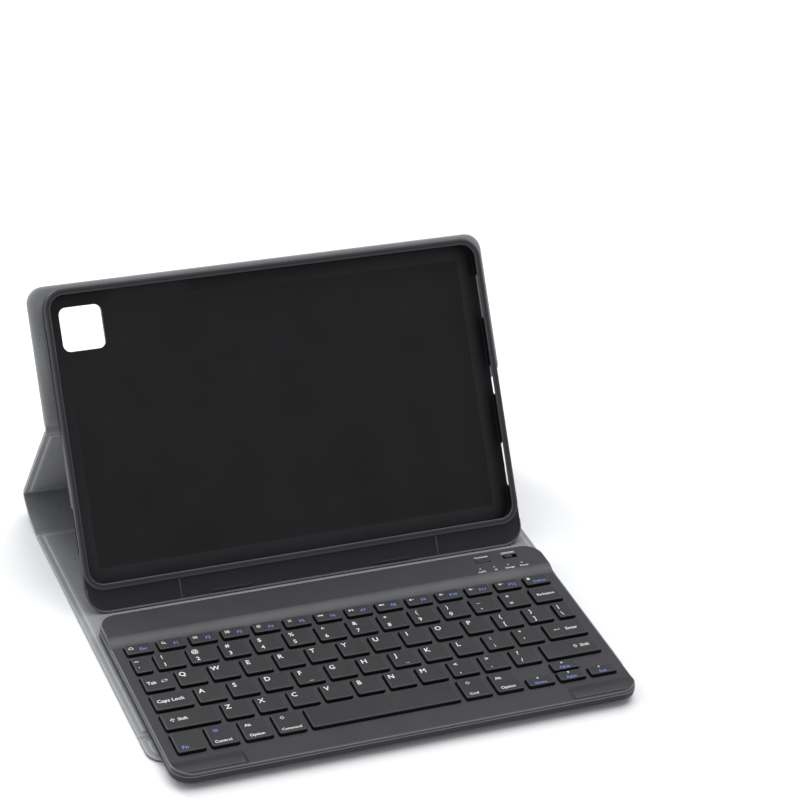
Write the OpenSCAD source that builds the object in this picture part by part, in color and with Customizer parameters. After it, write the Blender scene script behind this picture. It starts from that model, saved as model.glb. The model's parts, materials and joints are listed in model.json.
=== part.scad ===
// Folio case for a ten-inch tablet with a detachable wireless keyboard.
// It stands open in the typing position: the keyboard lies on the front
// cover, the tablet tray leans back and the prop panel holds it up.
// Millimetres, X to the right, Y to the back, Z up, ground at Z = 0.

/* [Cover] */
// How far the cover stands out beside the tray
cover_side = 5.5; // [2:0.5:10]
// Length of the front cover, from the spine to the edge strip
front_len = 180; // [160:1:215]
// Length of the edge strip between the front cover and the flap
edge_len = 19; // [14:1:26]
// Length of the closing flap
flap_len = 17.5; // [16:0.5:32]
// How much narrower the flap is than the cover
flap_inset = 19; // [14:1:40]
// Length of the soft spine
spine_len = 26; // [18:1:31]
// Slope of the spine where it rises to the prop, in degrees
spine_rise = 21; // [10:1:35]
// Lean of the prop panel from the vertical, in degrees
prop_lean = 31.5; // [20:0.5:40]
// Thickness of the outer skin
skin_t = 0.7; // [0.5:0.1:1.2]
// Thickness of the stiff board
board_t = 1.2; // [0.8:0.1:2.4]
// Thickness of the inner lining
lining_t = 0.7; // [0.5:0.1:1.2]
// Width of the rim around each board
rim_w = 2.6; // [1.8:0.1:5]
// Corner radius of the cover
cover_r = 9; // [4:0.5:16]
// Corner radius of the closing flap
flap_r = 12; // [5:0.5:18]
// Half the width of the bare crease between two panels
crease = 1; // [0.8:0.1:2]

/* [Tray] */
// Width of the tablet
tablet_w = 240.2; // [228:0.1:290]
// Height of the tablet
tablet_h = 152.2; // [144:0.1:184]
// Thickness of the tablet
tablet_t = 7; // [5.5:0.1:9]
// Clearance around the tablet
tablet_gap = 0.3; // [0.1:0.1:0.8]
// Wall thickness of the tray
tray_wall = 1.6; // [1.2:0.1:2.5]
// Thickness of the tray floor
tray_floor = 1.2; // [0.8:0.1:2]
// Thickness of the lip that holds the tablet
lip_t = 1.4; // [1:0.1:2]
// How far the lip reaches over the tablet
lip_w = 1.6; // [1:0.1:2.5]
// Height of the chin below the tablet
chin_h = 12; // [9:0.5:16]
// Corner radius of the tray
tray_r = 11; // [6:0.5:15]
// Tilt of the tray from the vertical, in degrees
tray_tilt = 35; // [28:0.5:42]
// Height along the tray, from its foot to the crease behind it
crease_v = 98; // [80:0.5:118]
// How far the cover stands out above the tray
cover_over = 3; // [1:0.5:6]
// Side of the square camera window
camera_w = 24; // [16:1:30]
// Distance of the camera window from the tray's outer edges
camera_in = 9; // [6:0.5:16]

/* [Keyboard] */
// Width of the deck on each side of the block of keys
deck_side = 6.6; // [6:0.1:12]
// Depth of the raised rear zone of the deck
rear_d = 21.4; // [19:0.1:30]
// Height of the key deck above the keyboard's underside
deck_z = 5.6; // [5.2:0.1:7]
// Height of the raised rear zone above the key deck
rear_rise = 2.2; // [1.5:0.1:3]
// Wall thickness of the keyboard's shells
shell_t = 1.2; // [1:0.1:1.5]
// Height of the lower shell's side wall above the keyboard's underside
side_z = 4.2; // [3.8:0.1:4.6]
// Corner radius of the keyboard
kb_r = 10; // [6:0.5:14]
// Gap between the keyboard's rear edge and the foot of the tray
kb_gap = 11; // [1:0.5:20]
// Height of the rubber feet
foot_t = 0.4; // [0.3:0.1:1]

/* [Keys] */
// Distance from one letter key to the next
pitch = 17.16; // [14:0.02:21]
// Gap between two keys
key_gap = 2.9; // [2.6:0.1:3.4]
// Depth of a letter key
key_d = 12.9; // [10:0.1:16]
// Depth of a key in the function row
fn_row_d = 8; // [7:0.1:8.5]
// Depth of a key in the bottom row
bottom_row_d = 15.5; // [13:0.1:16]
// Gap between two rows of keys
row_gap = 2.5; // [2.2:0.1:2.8]
// Distance from the keyboard's front edge to the bottom row
key_front = 15.5; // [14.5:0.1:18]
// Width of the backspace key, the last one in the number row
backspace_w = 15.38; // [13:0.01:20]
// Width of the grave key
grave_w = 8.6; // [7:0.1:10]
// Width of the tab key
tab_w = 14.8; // [13:0.1:16]
// Width of the caps lock key
caps_w = 19.5; // [18:0.1:21]
// Width of the left shift key
shift_w = 28; // [26:0.1:29]
// Height of a key above the deck
key_rise = 1.7; // [1.6:0.1:2.2]
// Travel of a key
key_travel = 1.6; // [1.2:0.1:1.6]
// Wall thickness of a key
key_wall = 0.9; // [0.7:0.1:1.2]
// Clearance between a key and its opening
key_clear = 0.35; // [0.25:0.05:0.45]
// Corner radius of a key
key_r = 1.2; // [0.6:0.1:2]

/* [Controls] */
// Distance of the power switch from the keyboard's centre line
switch_x = 104; // [98:0.5:108]
// Distance of the connect button from the keyboard's centre line
connect_x = 88.5; // [80:0.5:90]
// Length of the connect button
connect_w = 8; // [5:0.5:9]
// Travel of the power switch
switch_travel = 2; // [1.5:0.1:2.5]
// Number of indicator lamps
lamp_n = 4; // [2:1:5]
// Distance from one indicator lamp to the next
lamp_pitch = 8; // [6:0.5:8]
// Width of the charging port's mouth
port_w = 9; // [8:0.1:10]
// Height of the charging port's mouth
port_h = 3; // [2.6:0.1:3.2]

/* [Magnets] */
// Diameter of the round magnets
magnet_d = 8; // [6:0.5:9]
// Distance of the outer magnets from the centre line
magnet_x = 98; // [80:1:104]
// Length of a steel plate under the lining
plate_w = 60; // [40:1:70]

/* [Hidden] */
$fn = 48;
eps = 0.01;
rest_gap = 0.3;

// Cover panels: skin, board and lining on top of each other
panel_t = skin_t + board_t + lining_t;
mid_z = panel_t / 2;
plate_t = board_t - 0.4;

// Tray, in its own frame: V runs up the tray, N comes out of its face
pad_t = 0.4;
tray_back = pad_t;
cavity_n0 = tray_back + tray_floor;
cavity_n1 = cavity_n0 + tablet_t + tablet_gap;
tray_front = cavity_n1 + lip_t;
cavity_w = tablet_w + 2 * tablet_gap;
cavity_h = tablet_h + 2 * tablet_gap;
tray_w = cavity_w + 2 * tray_wall;
cover_w = tray_w + 2 * cover_side;
cavity_v0 = chin_h + tray_wall;
tray_v1 = cavity_v0 + cavity_h + tray_wall;
back_v1 = tray_v1 + cover_over;

// Side profile, with Y = 0 at the rear edge of the front cover
foot_z = panel_t + rest_gap;
tray_o_z = foot_z - tray_front * sin(tray_tilt);
fold_z = tray_o_z + crease_v * cos(tray_tilt) - panel_t * sin(tray_tilt);
spine_y1 = spine_len * cos(spine_rise);
spine_z1 = mid_z + spine_len * sin(spine_rise);
prop_angle = 90 + prop_lean;
prop_len = (fold_z - spine_z1 + mid_z * cos(prop_angle)) / sin(prop_angle);
fold_y = spine_y1 + prop_len * cos(prop_angle) + mid_z * sin(prop_angle);
tray_o_y = fold_y - crease_v * sin(tray_tilt) - panel_t * cos(tray_tilt);
chin_y = tray_o_y - tray_front * cos(tray_tilt);
kb_rear_y = chin_y - kb_gap;
back_y1 = tray_o_y + back_v1 * sin(tray_tilt) + panel_t * cos(tray_tilt);

// Keyboard sizes, which follow from its keys
letter_n = 12;
block_w = grave_w + key_gap + letter_n * pitch + backspace_w;
kb_w = block_w + 2 * deck_side;
slope_d = 4;
rear_y = key_front + bottom_row_d + 4 * (key_d + row_gap) + row_gap + fn_row_d + 1;
kb_d = rear_y + slope_d + rear_d;
kb_y0 = kb_rear_y - kb_d;

// The origin is in the middle of the ground that the open case covers
flap_y0 = -front_len - edge_len - flap_len;
low_y = min(kb_y0, flap_y0);
high_y = max(spine_y1 + mid_z, back_y1);
shift_y = -(low_y + high_y) / 2;

// Keyboard heights above its underside, which stands on the feet
kb_z = panel_t + foot_t;
floor_gap = 0.2;
plate_z = shell_t + floor_gap;
plate_top = plate_z + 0.5;
dome_z = plate_top + 0.4;
key_bottom = dome_z + key_travel + floor_gap;
key_top = deck_z + key_rise;
bumper_rise = 0.9;
bumper_d = 12;
bumper_w = 36;
part_gap = 0.4;
control_y = kb_d - 8.1;
lamp_y = control_y - 6.6;
first_lamp_x = switch_x + 4;
screw_in = 8;
screw_x = kb_w / 2 - screw_in;

// Colours
navy = [0.11, 0.16, 0.29];
lining_grey = [0.40, 0.41, 0.42];
board_brown = [0.55, 0.47, 0.36];
shell_black = [0.07, 0.07, 0.075];
key_black = [0.05, 0.05, 0.055];
steel = [0.72, 0.73, 0.75];
rubber = [0.12, 0.12, 0.12];
board_green = [0.10, 0.32, 0.18];
foil = [0.60, 0.62, 0.66];

// ---------- shapes that repeat ----------

// Rectangle with its low edge on Y = 0, centred on X, with its own corner radii low and high
module sheet_2d(w, d, r_low, r_high) {
    difference() {
        translate([-w / 2, 0])
            square([w, d]);
        for (side = [-1, 1]) {
            corner_cut(side * w / 2, 0, -side, 1, r_low);
            corner_cut(side * w / 2, d, -side, -1, r_high);
        }
    }
}

// Removes what lies outside a corner's arc; sx and sy point into the sheet
module corner_cut(x, y, sx, sy, r) {
    if (r > 0)
        difference() {
            translate([x + min(0, sx * r) - (sx > 0 ? 1 : 0), y + min(0, sy * r) - (sy > 0 ? 1 : 0)])
                square([r + 1, r + 1]);
            translate([x + sx * r, y + sy * r])
                circle(r);
        }
}

// Block of the sheet's outline between two heights
module slab(w, d, r_low, r_high, z0, z1) {
    translate([0, 0, z0])
        linear_extrude(z1 - z0)
            sheet_2d(w, d, r_low, r_high);
}

// Outline of a board inside its rim
module board_slab(w, d, r_low, r_high, z0, z1) {
    translate([0, rim_w, 0])
        slab(w - 2 * rim_w, d - 2 * rim_w, max(r_low - rim_w, 0.5), max(r_high - rim_w, 0.5), z0, z1);
}

module panel_skin(w, d, r_low, r_high) {
    color(navy)
        slab(w, d, r_low, r_high, 0, skin_t);
}

module panel_board(w, d, r_low, r_high) {
    color(board_brown)
        board_slab(w, d, r_low, r_high, skin_t, skin_t + board_t);
}

// The lining covers the board and comes down to the skin around it
module panel_lining(w, d, r_low, r_high) {
    color(lining_grey)
        difference() {
            slab(w, d, r_low, r_high, skin_t, panel_t);
            board_slab(w, d, r_low, r_high, skin_t - 1, skin_t + board_t);
        }
}

// ---------- places ----------

module on_ground(y) {
    translate([0, shift_y + y, 0])
        children();
}

// Local Y runs along the spine from the front cover to the prop, local Z is its inner side
module on_spine() {
    on_ground(0)
        translate([0, 0, mid_z])
            rotate([spine_rise, 0, 0])
                translate([0, 0, -mid_z])
                    children();
}

// Local Y runs from the prop's foot up to the crease, local Z is its inner side
module on_prop() {
    on_ground(spine_y1)
        translate([0, 0, spine_z1])
            rotate([prop_angle, 0, 0])
                translate([0, 0, -mid_z])
                    children();
}

// Local Y runs up the tray from its foot, local Z comes out of its face
module on_tray() {
    on_ground(tray_o_y)
        translate([0, 0, tray_o_z])
            rotate([90 - tray_tilt, 0, 0])
                children();
}

// Local frame of the upper back panel, with Z = 0 on the skin's outer face
module on_back() {
    on_tray()
        translate([0, crease_v + crease, -panel_t])
            children();
}

module on_keyboard() {
    on_ground(kb_y0)
        translate([0, 0, kb_z])
            children();
}

// ---------- cover ----------

front_d = front_len - 2 * crease;
edge_d = edge_len - crease;
flap_d = flap_len - crease;
spine_d = spine_len - 2 * crease;
prop_d = prop_len - 2 * crease;
back_d = back_v1 - crease_v - crease;
flap_w = cover_w - flap_inset;

module front_skin() {
    on_ground(-front_len + crease)
        panel_skin(cover_w, front_d, 0, 2);
}

// The board has a pocket for each steel plate, the thing that the magnets hold to
module front_board() {
    on_ground(-front_len + crease)
        difference() {
            panel_board(cover_w, front_d, 0, 2);
            plate_blocks(0.15);
        }
}

module front_lining() {
    on_ground(-front_len + crease)
        panel_lining(cover_w, front_d, 0, 2);
}

module edge_skin() {
    on_ground(-front_len - edge_len)
        panel_skin(cover_w, edge_d, cover_r, 0);
}

module edge_board() {
    on_ground(-front_len - edge_len)
        panel_board(cover_w, edge_d, cover_r, 0);
}

module edge_lining() {
    on_ground(-front_len - edge_len)
        panel_lining(cover_w, edge_d, cover_r, 0);
}

module flap_skin() {
    on_ground(flap_y0)
        panel_skin(flap_w, flap_d - crease, flap_r, 0);
}

module flap_board() {
    on_ground(flap_y0)
        difference() {
            panel_board(flap_w, flap_d - crease, flap_r, 0);
            flap_magnet_places(0.15);
        }
}

module flap_lining() {
    on_ground(flap_y0)
        panel_lining(flap_w, flap_d - crease, flap_r, 0);
}

// The spine is skin and lining only, so that it can bend
module spine_skin() {
    on_spine()
        translate([0, crease, mid_z - skin_t])
            color(navy)
                slab(cover_w, spine_d, 0, 0, 0, skin_t);
}

module spine_lining() {
    on_spine()
        translate([0, crease, mid_z])
            color(lining_grey)
                slab(cover_w, spine_d, 0, 0, 0, lining_t);
}

module prop_skin() {
    on_prop()
        translate([0, crease, 0])
            panel_skin(cover_w, prop_d, 2, 2);
}

module prop_board() {
    on_prop()
        translate([0, crease, 0])
            panel_board(cover_w, prop_d, 2, 2);
}

module prop_lining() {
    on_prop()
        translate([0, crease, 0])
            panel_lining(cover_w, prop_d, 2, 2);
}

// Centre of the camera window, in the tray's frame
camera_x = -tray_w / 2 + camera_in + camera_w / 2;
camera_v = tray_v1 - camera_in - camera_w / 2;
camera_r = 4;

// Square window with rounded corners through the upper back panel and the tray floor
module camera_hole(grow) {
    side = camera_w + 2 * grow;
    translate([camera_x, camera_v - side / 2, -panel_t - 1])
        linear_extrude(panel_t + cavity_n0 + 2)
            sheet_2d(side, side, camera_r, camera_r);
}

module camera_cut_in_back(grow) {
    translate([0, -crease_v - crease, panel_t])
        camera_hole(grow);
}

module back_skin() {
    on_back()
        difference() {
            panel_skin(cover_w, back_d, 0, cover_r);
            camera_cut_in_back(0);
        }
}

module back_board() {
    on_back()
        difference() {
            panel_board(cover_w, back_d, 0, cover_r);
            camera_cut_in_back(1);
        }
}

// The lining also carries the glue pad behind the tray
module back_lining() {
    pad_in = 8;
    on_back()
        color(lining_grey)
            difference() {
                union() {
                    panel_lining(cover_w, back_d, 0, cover_r);
                    translate([0, pad_in / 2, 0])
                        slab(tray_w - 2 * pad_in, back_d - cover_over - pad_in, 3, 3,
                            panel_t - eps, panel_t + pad_t);
                }
                camera_cut_in_back(0);
            }
}

// ---------- magnets and plates in the cover ----------

// Steel plates: one row under the keyboard, one row under the foot of the tray
plate_d = 10;
plate_x = cover_w / 2 - plate_w - 24;
plate_rows = [chin_y + 2, kb_rear_y - 22];
module plate_blocks(grow) {
    for (side = [-1, 1])
        for (row_y = plate_rows)
            translate([side * (plate_x + plate_w / 2) - plate_w / 2 - grow,
                row_y + front_len - crease - grow, skin_t + board_t - plate_t])
                cube([plate_w + 2 * grow, plate_d + 2 * grow, plate_t + (grow > 0 ? 1 : 0)]);
}

module steel_plates() {
    color(steel)
        on_ground(-front_len + crease)
            plate_blocks(0);
}

flap_magnet_n = 4;
flap_magnet_pitch = 50;
flap_magnet_w = 12;
flap_magnet_d = 5;
module flap_magnet_places(grow) {
    for (i = [0:flap_magnet_n - 1])
        translate([(i - (flap_magnet_n - 1) / 2) * flap_magnet_pitch - flap_magnet_w / 2 - grow,
            flap_d / 2 - flap_magnet_d / 2 - grow, skin_t + board_t - plate_t])
            cube([flap_magnet_w + 2 * grow, flap_magnet_d + 2 * grow, plate_t + (grow > 0 ? 1 : 0)]);
}

module flap_magnets() {
    color(steel)
        on_ground(flap_y0)
            flap_magnet_places(0);
}

// ---------- tray ----------

// Tray outline between two heights above its back plane, set in by inset from v0 upwards
module tray_block(inset, v0, n0, n1) {
    r = max(tray_r - inset, 1);
    translate([0, v0 + inset, 0])
        slab(tray_w - 2 * inset, tray_v1 - v0 - 2 * inset, r, r, n0, n1);
}

slot_in = 0.65;
port_slot_w = 16;
speaker_slot_w = 24;
button_slot_w = 44;
button_slot_x = -62;
speaker_v = 46;
// Slots through the tray's walls for the plug, the buttons and the speakers
module tray_slots() {
    slot_h = cavity_n1 - cavity_n0 - 2 * slot_in;
    slot_n = cavity_n0 + slot_in;
    mid_v = cavity_v0 + cavity_h / 2;
    for (side = [-1, 1])
        for (v = [mid_v - speaker_v, mid_v + speaker_v])
            translate([side * tray_w / 2 - 2 * tray_wall, v - speaker_slot_w / 2, slot_n])
                cube([4 * tray_wall, speaker_slot_w, slot_h]);
    translate([tray_w / 2 - 2 * tray_wall, mid_v - port_slot_w / 2, slot_n])
        cube([4 * tray_wall, port_slot_w, slot_h]);
    translate([button_slot_x - button_slot_w / 2, tray_v1 - 2 * tray_wall, slot_n])
        cube([button_slot_w, 4 * tray_wall, slot_h]);
}

chin_magnet_n = 4;
chin_magnet_pitch = 50;
chin_magnet_size = [24, 4.5, 2.5];
chin_magnet_v = 5.6;
chin_magnet_n1 = tray_front - 2.4;
// Blocks for the magnets in the chin; a pocket is open to the back
module chin_magnet_blocks(grow, depth) {
    for (i = [0:chin_magnet_n - 1])
        translate([(i - (chin_magnet_n - 1) / 2) * chin_magnet_pitch - chin_magnet_size[0] / 2 - grow,
            chin_magnet_v - grow, chin_magnet_n1 + grow - depth])
            cube([chin_magnet_size[0] + 2 * grow, chin_magnet_size[1] + 2 * grow, depth]);
}

chin_recess = 0.8;
chin_rim = 1;
chin_groove_x = 72;
chin_groove_w = 1;
// Recess in the chin's face inside a thin rim, with a groove either side of the middle
module chin_face_cut() {
    w = tray_w - 2 * chin_rim;
    d = chin_h - chin_rim;
    translate([0, chin_rim, 0])
        slab(w, d, tray_r - chin_rim, 1, tray_front - chin_recess, tray_front + 1);
    for (side = [-1, 1])
        translate([side * chin_groove_x - chin_groove_w / 2, chin_rim, tray_front - 2 * chin_recess])
            cube([chin_groove_w, d, 2 * chin_recess]);
}

// Tray with a lip on all sides; its foot is level when the tray leans back
module tray_shell() {
    color(shell_black)
        difference() {
            on_tray()
                difference() {
                    tray_block(0, 0, tray_back, tray_front);
                    tray_block(tray_wall, cavity_v0 - tray_wall, cavity_n0, cavity_n1);
                    tray_block(tray_wall + lip_w, cavity_v0 - tray_wall, cavity_n1 - eps, tray_front + 1);
                    chin_face_cut();
                    chin_magnet_blocks(0.15, tray_front);
                    tray_slots();
                    camera_hole(-0.5);
                }
            on_ground(tray_o_y)
                translate([-tray_w, -tray_w, foot_z - tray_w])
                    cube([2 * tray_w, 2 * tray_w, tray_w]);
        }
}

module chin_magnets() {
    color(steel)
        on_tray()
            chin_magnet_blocks(0, chin_magnet_size[2]);
}

// ---------- keyboard shells ----------

// Keyboard outline between two heights, set in by inset
module kb_slab(inset, z0, z1) {
    r = max(kb_r - inset, 1);
    translate([0, inset, 0])
        slab(kb_w - 2 * inset, kb_d - 2 * inset, r, r, z0, z1);
}

// Profile in Y and Z, drawn out along X
module along_x(x0, x1) {
    translate([x0, 0, 0])
        rotate([90, 0, 90])
            linear_extrude(x1 - x0)
                children();
}

// Side view of the deck: flat over the keys, then a slope up to the raised rear zone
module deck_profile(drop, low) {
    rear_z = deck_z + rear_rise;
    round_r = 2.2;
    polygon(concat(
        [[-1, low], [-1, deck_z - drop], [rear_y + drop / 3, deck_z - drop],
            [rear_y + slope_d + drop / 3, rear_z - drop]],
        [for (a = [90:-15:0]) [kb_d - part_gap - round_r + round_r * cos(a) + (a == 0 ? 1 : 0),
            rear_z - drop - round_r + round_r * sin(a)]],
        [[kb_d + 1, low]]));
}

// Raised bumper at each end of the front edge
module bumpers() {
    for (side = [-1, 1])
        along_x(side > 0 ? kb_w / 2 - bumper_w : -kb_w / 2, side > 0 ? kb_w / 2 : -kb_w / 2 + bumper_w)
            polygon([[part_gap, side_z], [part_gap, deck_z], [part_gap + 2, deck_z + bumper_rise],
                [bumper_d / 2, deck_z + bumper_rise], [bumper_d, deck_z], [bumper_d, side_z]]);
}

deck_plate = 1.4;
screw_r = 1.4;
boss_r = 2.6;
screw_y = 10;
rear_screw_x = 70;
// The screw at the rear right stands further in, clear of the charging port
screw_places = [[-screw_x, screw_y], [screw_x, screw_y], [-screw_x, kb_d - screw_y],
    [rear_screw_x, kb_d - screw_y]];
module at_screws() {
    for (p = screw_places)
        translate([p[0], p[1], 0])
            children();
}

// Upper shell with one opening for each key, the switch, the button and the lamps
module top_deck() {
    color(shell_black)
        on_keyboard()
            difference() {
                union() {
                    intersection() {
                        kb_slab(part_gap, side_z, key_top + rear_rise);
                        union() {
                            along_x(-kb_w / 2, kb_w / 2)
                                deck_profile(0, side_z);
                            bumpers();
                        }
                    }
                    intersection() {
                        kb_slab(shell_t + 0.2, side_z - 1, side_z + 1);
                        kb_slab(0, 0, key_top);
                    }
                    at_screws()
                        translate([0, 0, shell_t + 1.6])
                            cylinder(r = boss_r, h = deck_z - shell_t - 2);
                }
                intersection() {
                    kb_slab(2 * shell_t + 0.2, side_z - 2, key_top + rear_rise);
                    along_x(-kb_w / 2, kb_w / 2)
                        deck_profile(deck_plate, side_z - 2);
                    deck_hollow();
                }
                for (row = ROWS)
                    for (k = row)
                        key_hole(k);
                at_screws()
                    cylinder(r = screw_r * 0.8, h = deck_z - deck_plate / 2);
                port_cut();
                switch_hole();
                connect_hole();
                lamp_holes();
            }
}

// The hollow of the upper shell leaves the screw bosses standing
module deck_hollow() {
    difference() {
        translate([-kb_w / 2, 0, 0])
            cube([kb_w, kb_d, 2 * key_top]);
        at_screws()
            cylinder(r = boss_r, h = 2 * key_top);
    }
}

// Lower shell: floor, side wall and the screw seats
module bottom_shell() {
    color(shell_black)
        on_keyboard()
            difference() {
                kb_slab(0, 0, side_z);
                difference() {
                    kb_slab(shell_t, shell_t, side_z + 1);
                    at_screws()
                        cylinder(r = boss_r, h = shell_t + 1.4);
                }
                at_screws()
                    screw_cut();
                port_cut();
                magnet_places()
                    translate([0, 0, shell_t - magnet_pocket])
                        cylinder(d = magnet_d + 0.3, h = shell_t);
            }
}

module screw_cut() {
    translate([0, 0, -1])
        cylinder(r = screw_r, h = key_top);
    translate([0, 0, -1])
        cylinder(r = boss_r - 0.5, h = 1 + shell_t);
}

// Screws with their heads sunk in the lower shell
module case_screws() {
    color(steel)
        on_keyboard()
            at_screws() {
                translate([0, 0, 0.3])
                    cylinder(r = boss_r - 0.6, h = shell_t - 0.3);
                translate([0, 0, shell_t - eps])
                    cylinder(r = screw_r * 0.75, h = deck_z - deck_plate - shell_t);
            }
}

// ---------- inside the keyboard ----------

plate_in = 5.5;
module key_plate() {
    color(steel)
        on_keyboard()
            translate([0, key_front - 3, 0])
                slab(kb_w - 2 * plate_in - 12, rear_y - key_front + 3, 2, 2, plate_z, plate_top);
}

dome_r = 2.2;
dome_h = 0.9;
// Membrane sheet with a rubber dome below each key
module dome_sheet() {
    color([0.75, 0.76, 0.74])
        on_keyboard() {
            translate([0, key_front - 2, 0])
                slab(kb_w - 2 * plate_in - 14, rear_y - key_front + 1, 2, 2, plate_top, dome_z);
            for (row = ROWS)
                for (k = row)
                    translate([k[0] + k[2] / 2, k[1] + k[3] / 2, dome_z - eps])
                        cylinder(r1 = min(dome_r, k[3] / 2 - 1.6), r2 = 1.2, h = dome_h);
        }
}

inner_y0 = rear_y + slope_d + 1.5;
inner_d = kb_d - 2 * shell_t - 1 - inner_y0;
battery_w = 88;
battery_x = -60;
pcb_x0 = 10;
pcb_x1 = kb_w / 2 - 2 * shell_t - 0.6;
pcb_t = 1;
// The board has a hole for the screw boss that stands in it
module circuit_board() {
    color(board_green)
        on_keyboard()
            difference() {
                translate([(pcb_x0 + pcb_x1) / 2, inner_y0, 0])
                    slab(pcb_x1 - pcb_x0, inner_d, 1, 6, plate_z, plate_z + pcb_t);
                at_screws()
                    cylinder(r = boss_r + 0.3, h = deck_z);
            }
}

module battery() {
    color(foil)
        on_keyboard()
            translate([battery_x, inner_y0, plate_z])
                slab(battery_w, inner_d, 2, 2, 0, deck_z + rear_rise - deck_plate - plate_z - 0.8);
}

port_y = inner_y0 + port_w / 2 + 0.8;
port_z = plate_z + pcb_t;
port_len = 7;
// Metal shell of the charging port, open to the right side, with its tongue
module charging_port() {
    wall = 0.3;
    color(steel)
        on_keyboard()
            translate([kb_w / 2 - 0.5 - port_len, port_y - port_w / 2, port_z])
                difference() {
                    cube([port_len, port_w, port_h - 0.4]);
                    translate([0.6, wall, wall])
                        cube([port_len, port_w - 2 * wall, (port_h - 0.4) / 2 - 0.3 - wall]);
                    translate([0.6, wall, (port_h - 0.4) / 2 + 0.3])
                        cube([port_len, port_w - 2 * wall, (port_h - 0.4) / 2 - 0.3 - wall]);
                }
}

module port_cut() {
    translate([kb_w / 2 - 3 * shell_t, port_y - port_w / 2 - 0.3, port_z - 0.2])
        cube([4 * shell_t, port_w + 0.6, port_h]);
}

magnet_pocket = 0.5;
magnet_h = plate_z - shell_t + magnet_pocket - 0.1;
magnet_rows = [12, kb_d - 17];
module magnet_places() {
    for (side = [-1, 1])
        for (y = magnet_rows)
            translate([side * magnet_x, y, 0])
                children();
}

module keyboard_magnets() {
    color(steel)
        on_keyboard()
            magnet_places()
                translate([0, 0, shell_t - magnet_pocket])
                    cylinder(d = magnet_d, h = magnet_h);
}

foot_d = 7;
foot_in = 20;
foot_rows = [30, kb_d - 26];
module rubber_feet() {
    color(rubber)
        on_keyboard()
            for (side = [-1, 1])
                for (y = foot_rows)
                    translate([side * (kb_w / 2 - foot_in), y, -foot_t])
                        cylinder(d = foot_d, h = foot_t);
}

// ---------- controls ----------

rear_top = deck_z + rear_rise;
switch_slot = [8, 3];
knob = [4, 2.4];
knob_rise = 0.6;
knob_gap = 0.25;
module switch_hole() {
    translate([switch_x - switch_slot[0] / 2, control_y - switch_slot[1] / 2, side_z])
        cube([switch_slot[0], switch_slot[1], rear_top]);
}

// Sliding knob, off at the left end of its slot
module power_switch() {
    x0 = switch_x - knob[0] / 2 - switch_travel / 2;
    z1 = rear_top + knob_rise;
    color(key_black)
        on_keyboard() {
            translate([x0, control_y - knob[1] / 2, rear_top - deck_plate - 1])
                cube([knob[0], knob[1], deck_plate + 1 + knob_rise]);
            translate([x0 - 1.2, control_y - 2.4, rear_top - deck_plate - 1])
                cube([knob[0] + 2.4, 4.8, 1 - knob_gap]);
        }
}

connect_d = 2.8;
connect_rise = 0.4;
connect_travel = 0.5;
module connect_hole() {
    translate([connect_x - connect_w / 2 - knob_gap, control_y - connect_d / 2 - knob_gap, side_z])
        cube([connect_w + 2 * knob_gap, connect_d + 2 * knob_gap, rear_top]);
}

module connect_button() {
    foot = 1;
    color(key_black)
        on_keyboard() {
            translate([connect_x - connect_w / 2, control_y - connect_d / 2, rear_top - deck_plate - foot])
                cube([connect_w, connect_d, deck_plate + foot + connect_rise]);
            translate([connect_x - connect_w / 2 - 1, control_y - connect_d / 2 - 1,
                rear_top - deck_plate - foot])
                cube([connect_w + 2, connect_d + 2, foot - knob_gap]);
        }
}

lamp_r = 0.7;
module lamp_places() {
    for (i = [0:lamp_n - 1])
        translate([first_lamp_x - i * lamp_pitch, lamp_y, 0])
            children();
}

module lamp_holes() {
    lamp_places()
        translate([0, 0, side_z])
            cylinder(r = lamp_r, h = rear_top);
}

// Clear light guides between the lamps and the deck
module lamp_lenses() {
    color([0.85, 0.88, 0.9])
        on_keyboard()
            lamp_places() {
                translate([0, 0, rear_top - deck_plate - 0.6])
                    cylinder(r = lamp_r - 0.05, h = deck_plate + 0.6);
                translate([0, 0, rear_top - deck_plate - 1.4])
                    cylinder(r = lamp_r + 0.6, h = 1.2);
            }
}

// ---------- keys ----------

left_x = -block_w / 2;
right_x = block_w / 2;
letter_w = pitch - key_gap;
fn_n = 14;
fn_pitch = (block_w + key_gap) / fn_n;

// Front edge of a row, counted from the bottom row
function row_y(i) = i == 0 ? key_front : key_front + bottom_row_d + row_gap + (i - 1) * (key_d + row_gap);

// One key: [low X, low Y, width, depth]
function key(x, y, w, d) = [x, y, w, d];
// Equal keys from a first low X
function key_run(x0, n, i, step, d) = [for (j = [0:n - 1]) key(x0 + j * step, row_y(i), step - key_gap, d)];
// A row with a wide key at each end and n letter keys between them
function framed_row(i, first_w, n) = let (x1 = left_x + first_w + key_gap, x2 = x1 + n * pitch)
    concat([key(left_x, row_y(i), first_w, key_d)], key_run(x1, n, i, pitch, key_d),
        [key(x2, row_y(i), right_x - x2, key_d)]);

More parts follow.
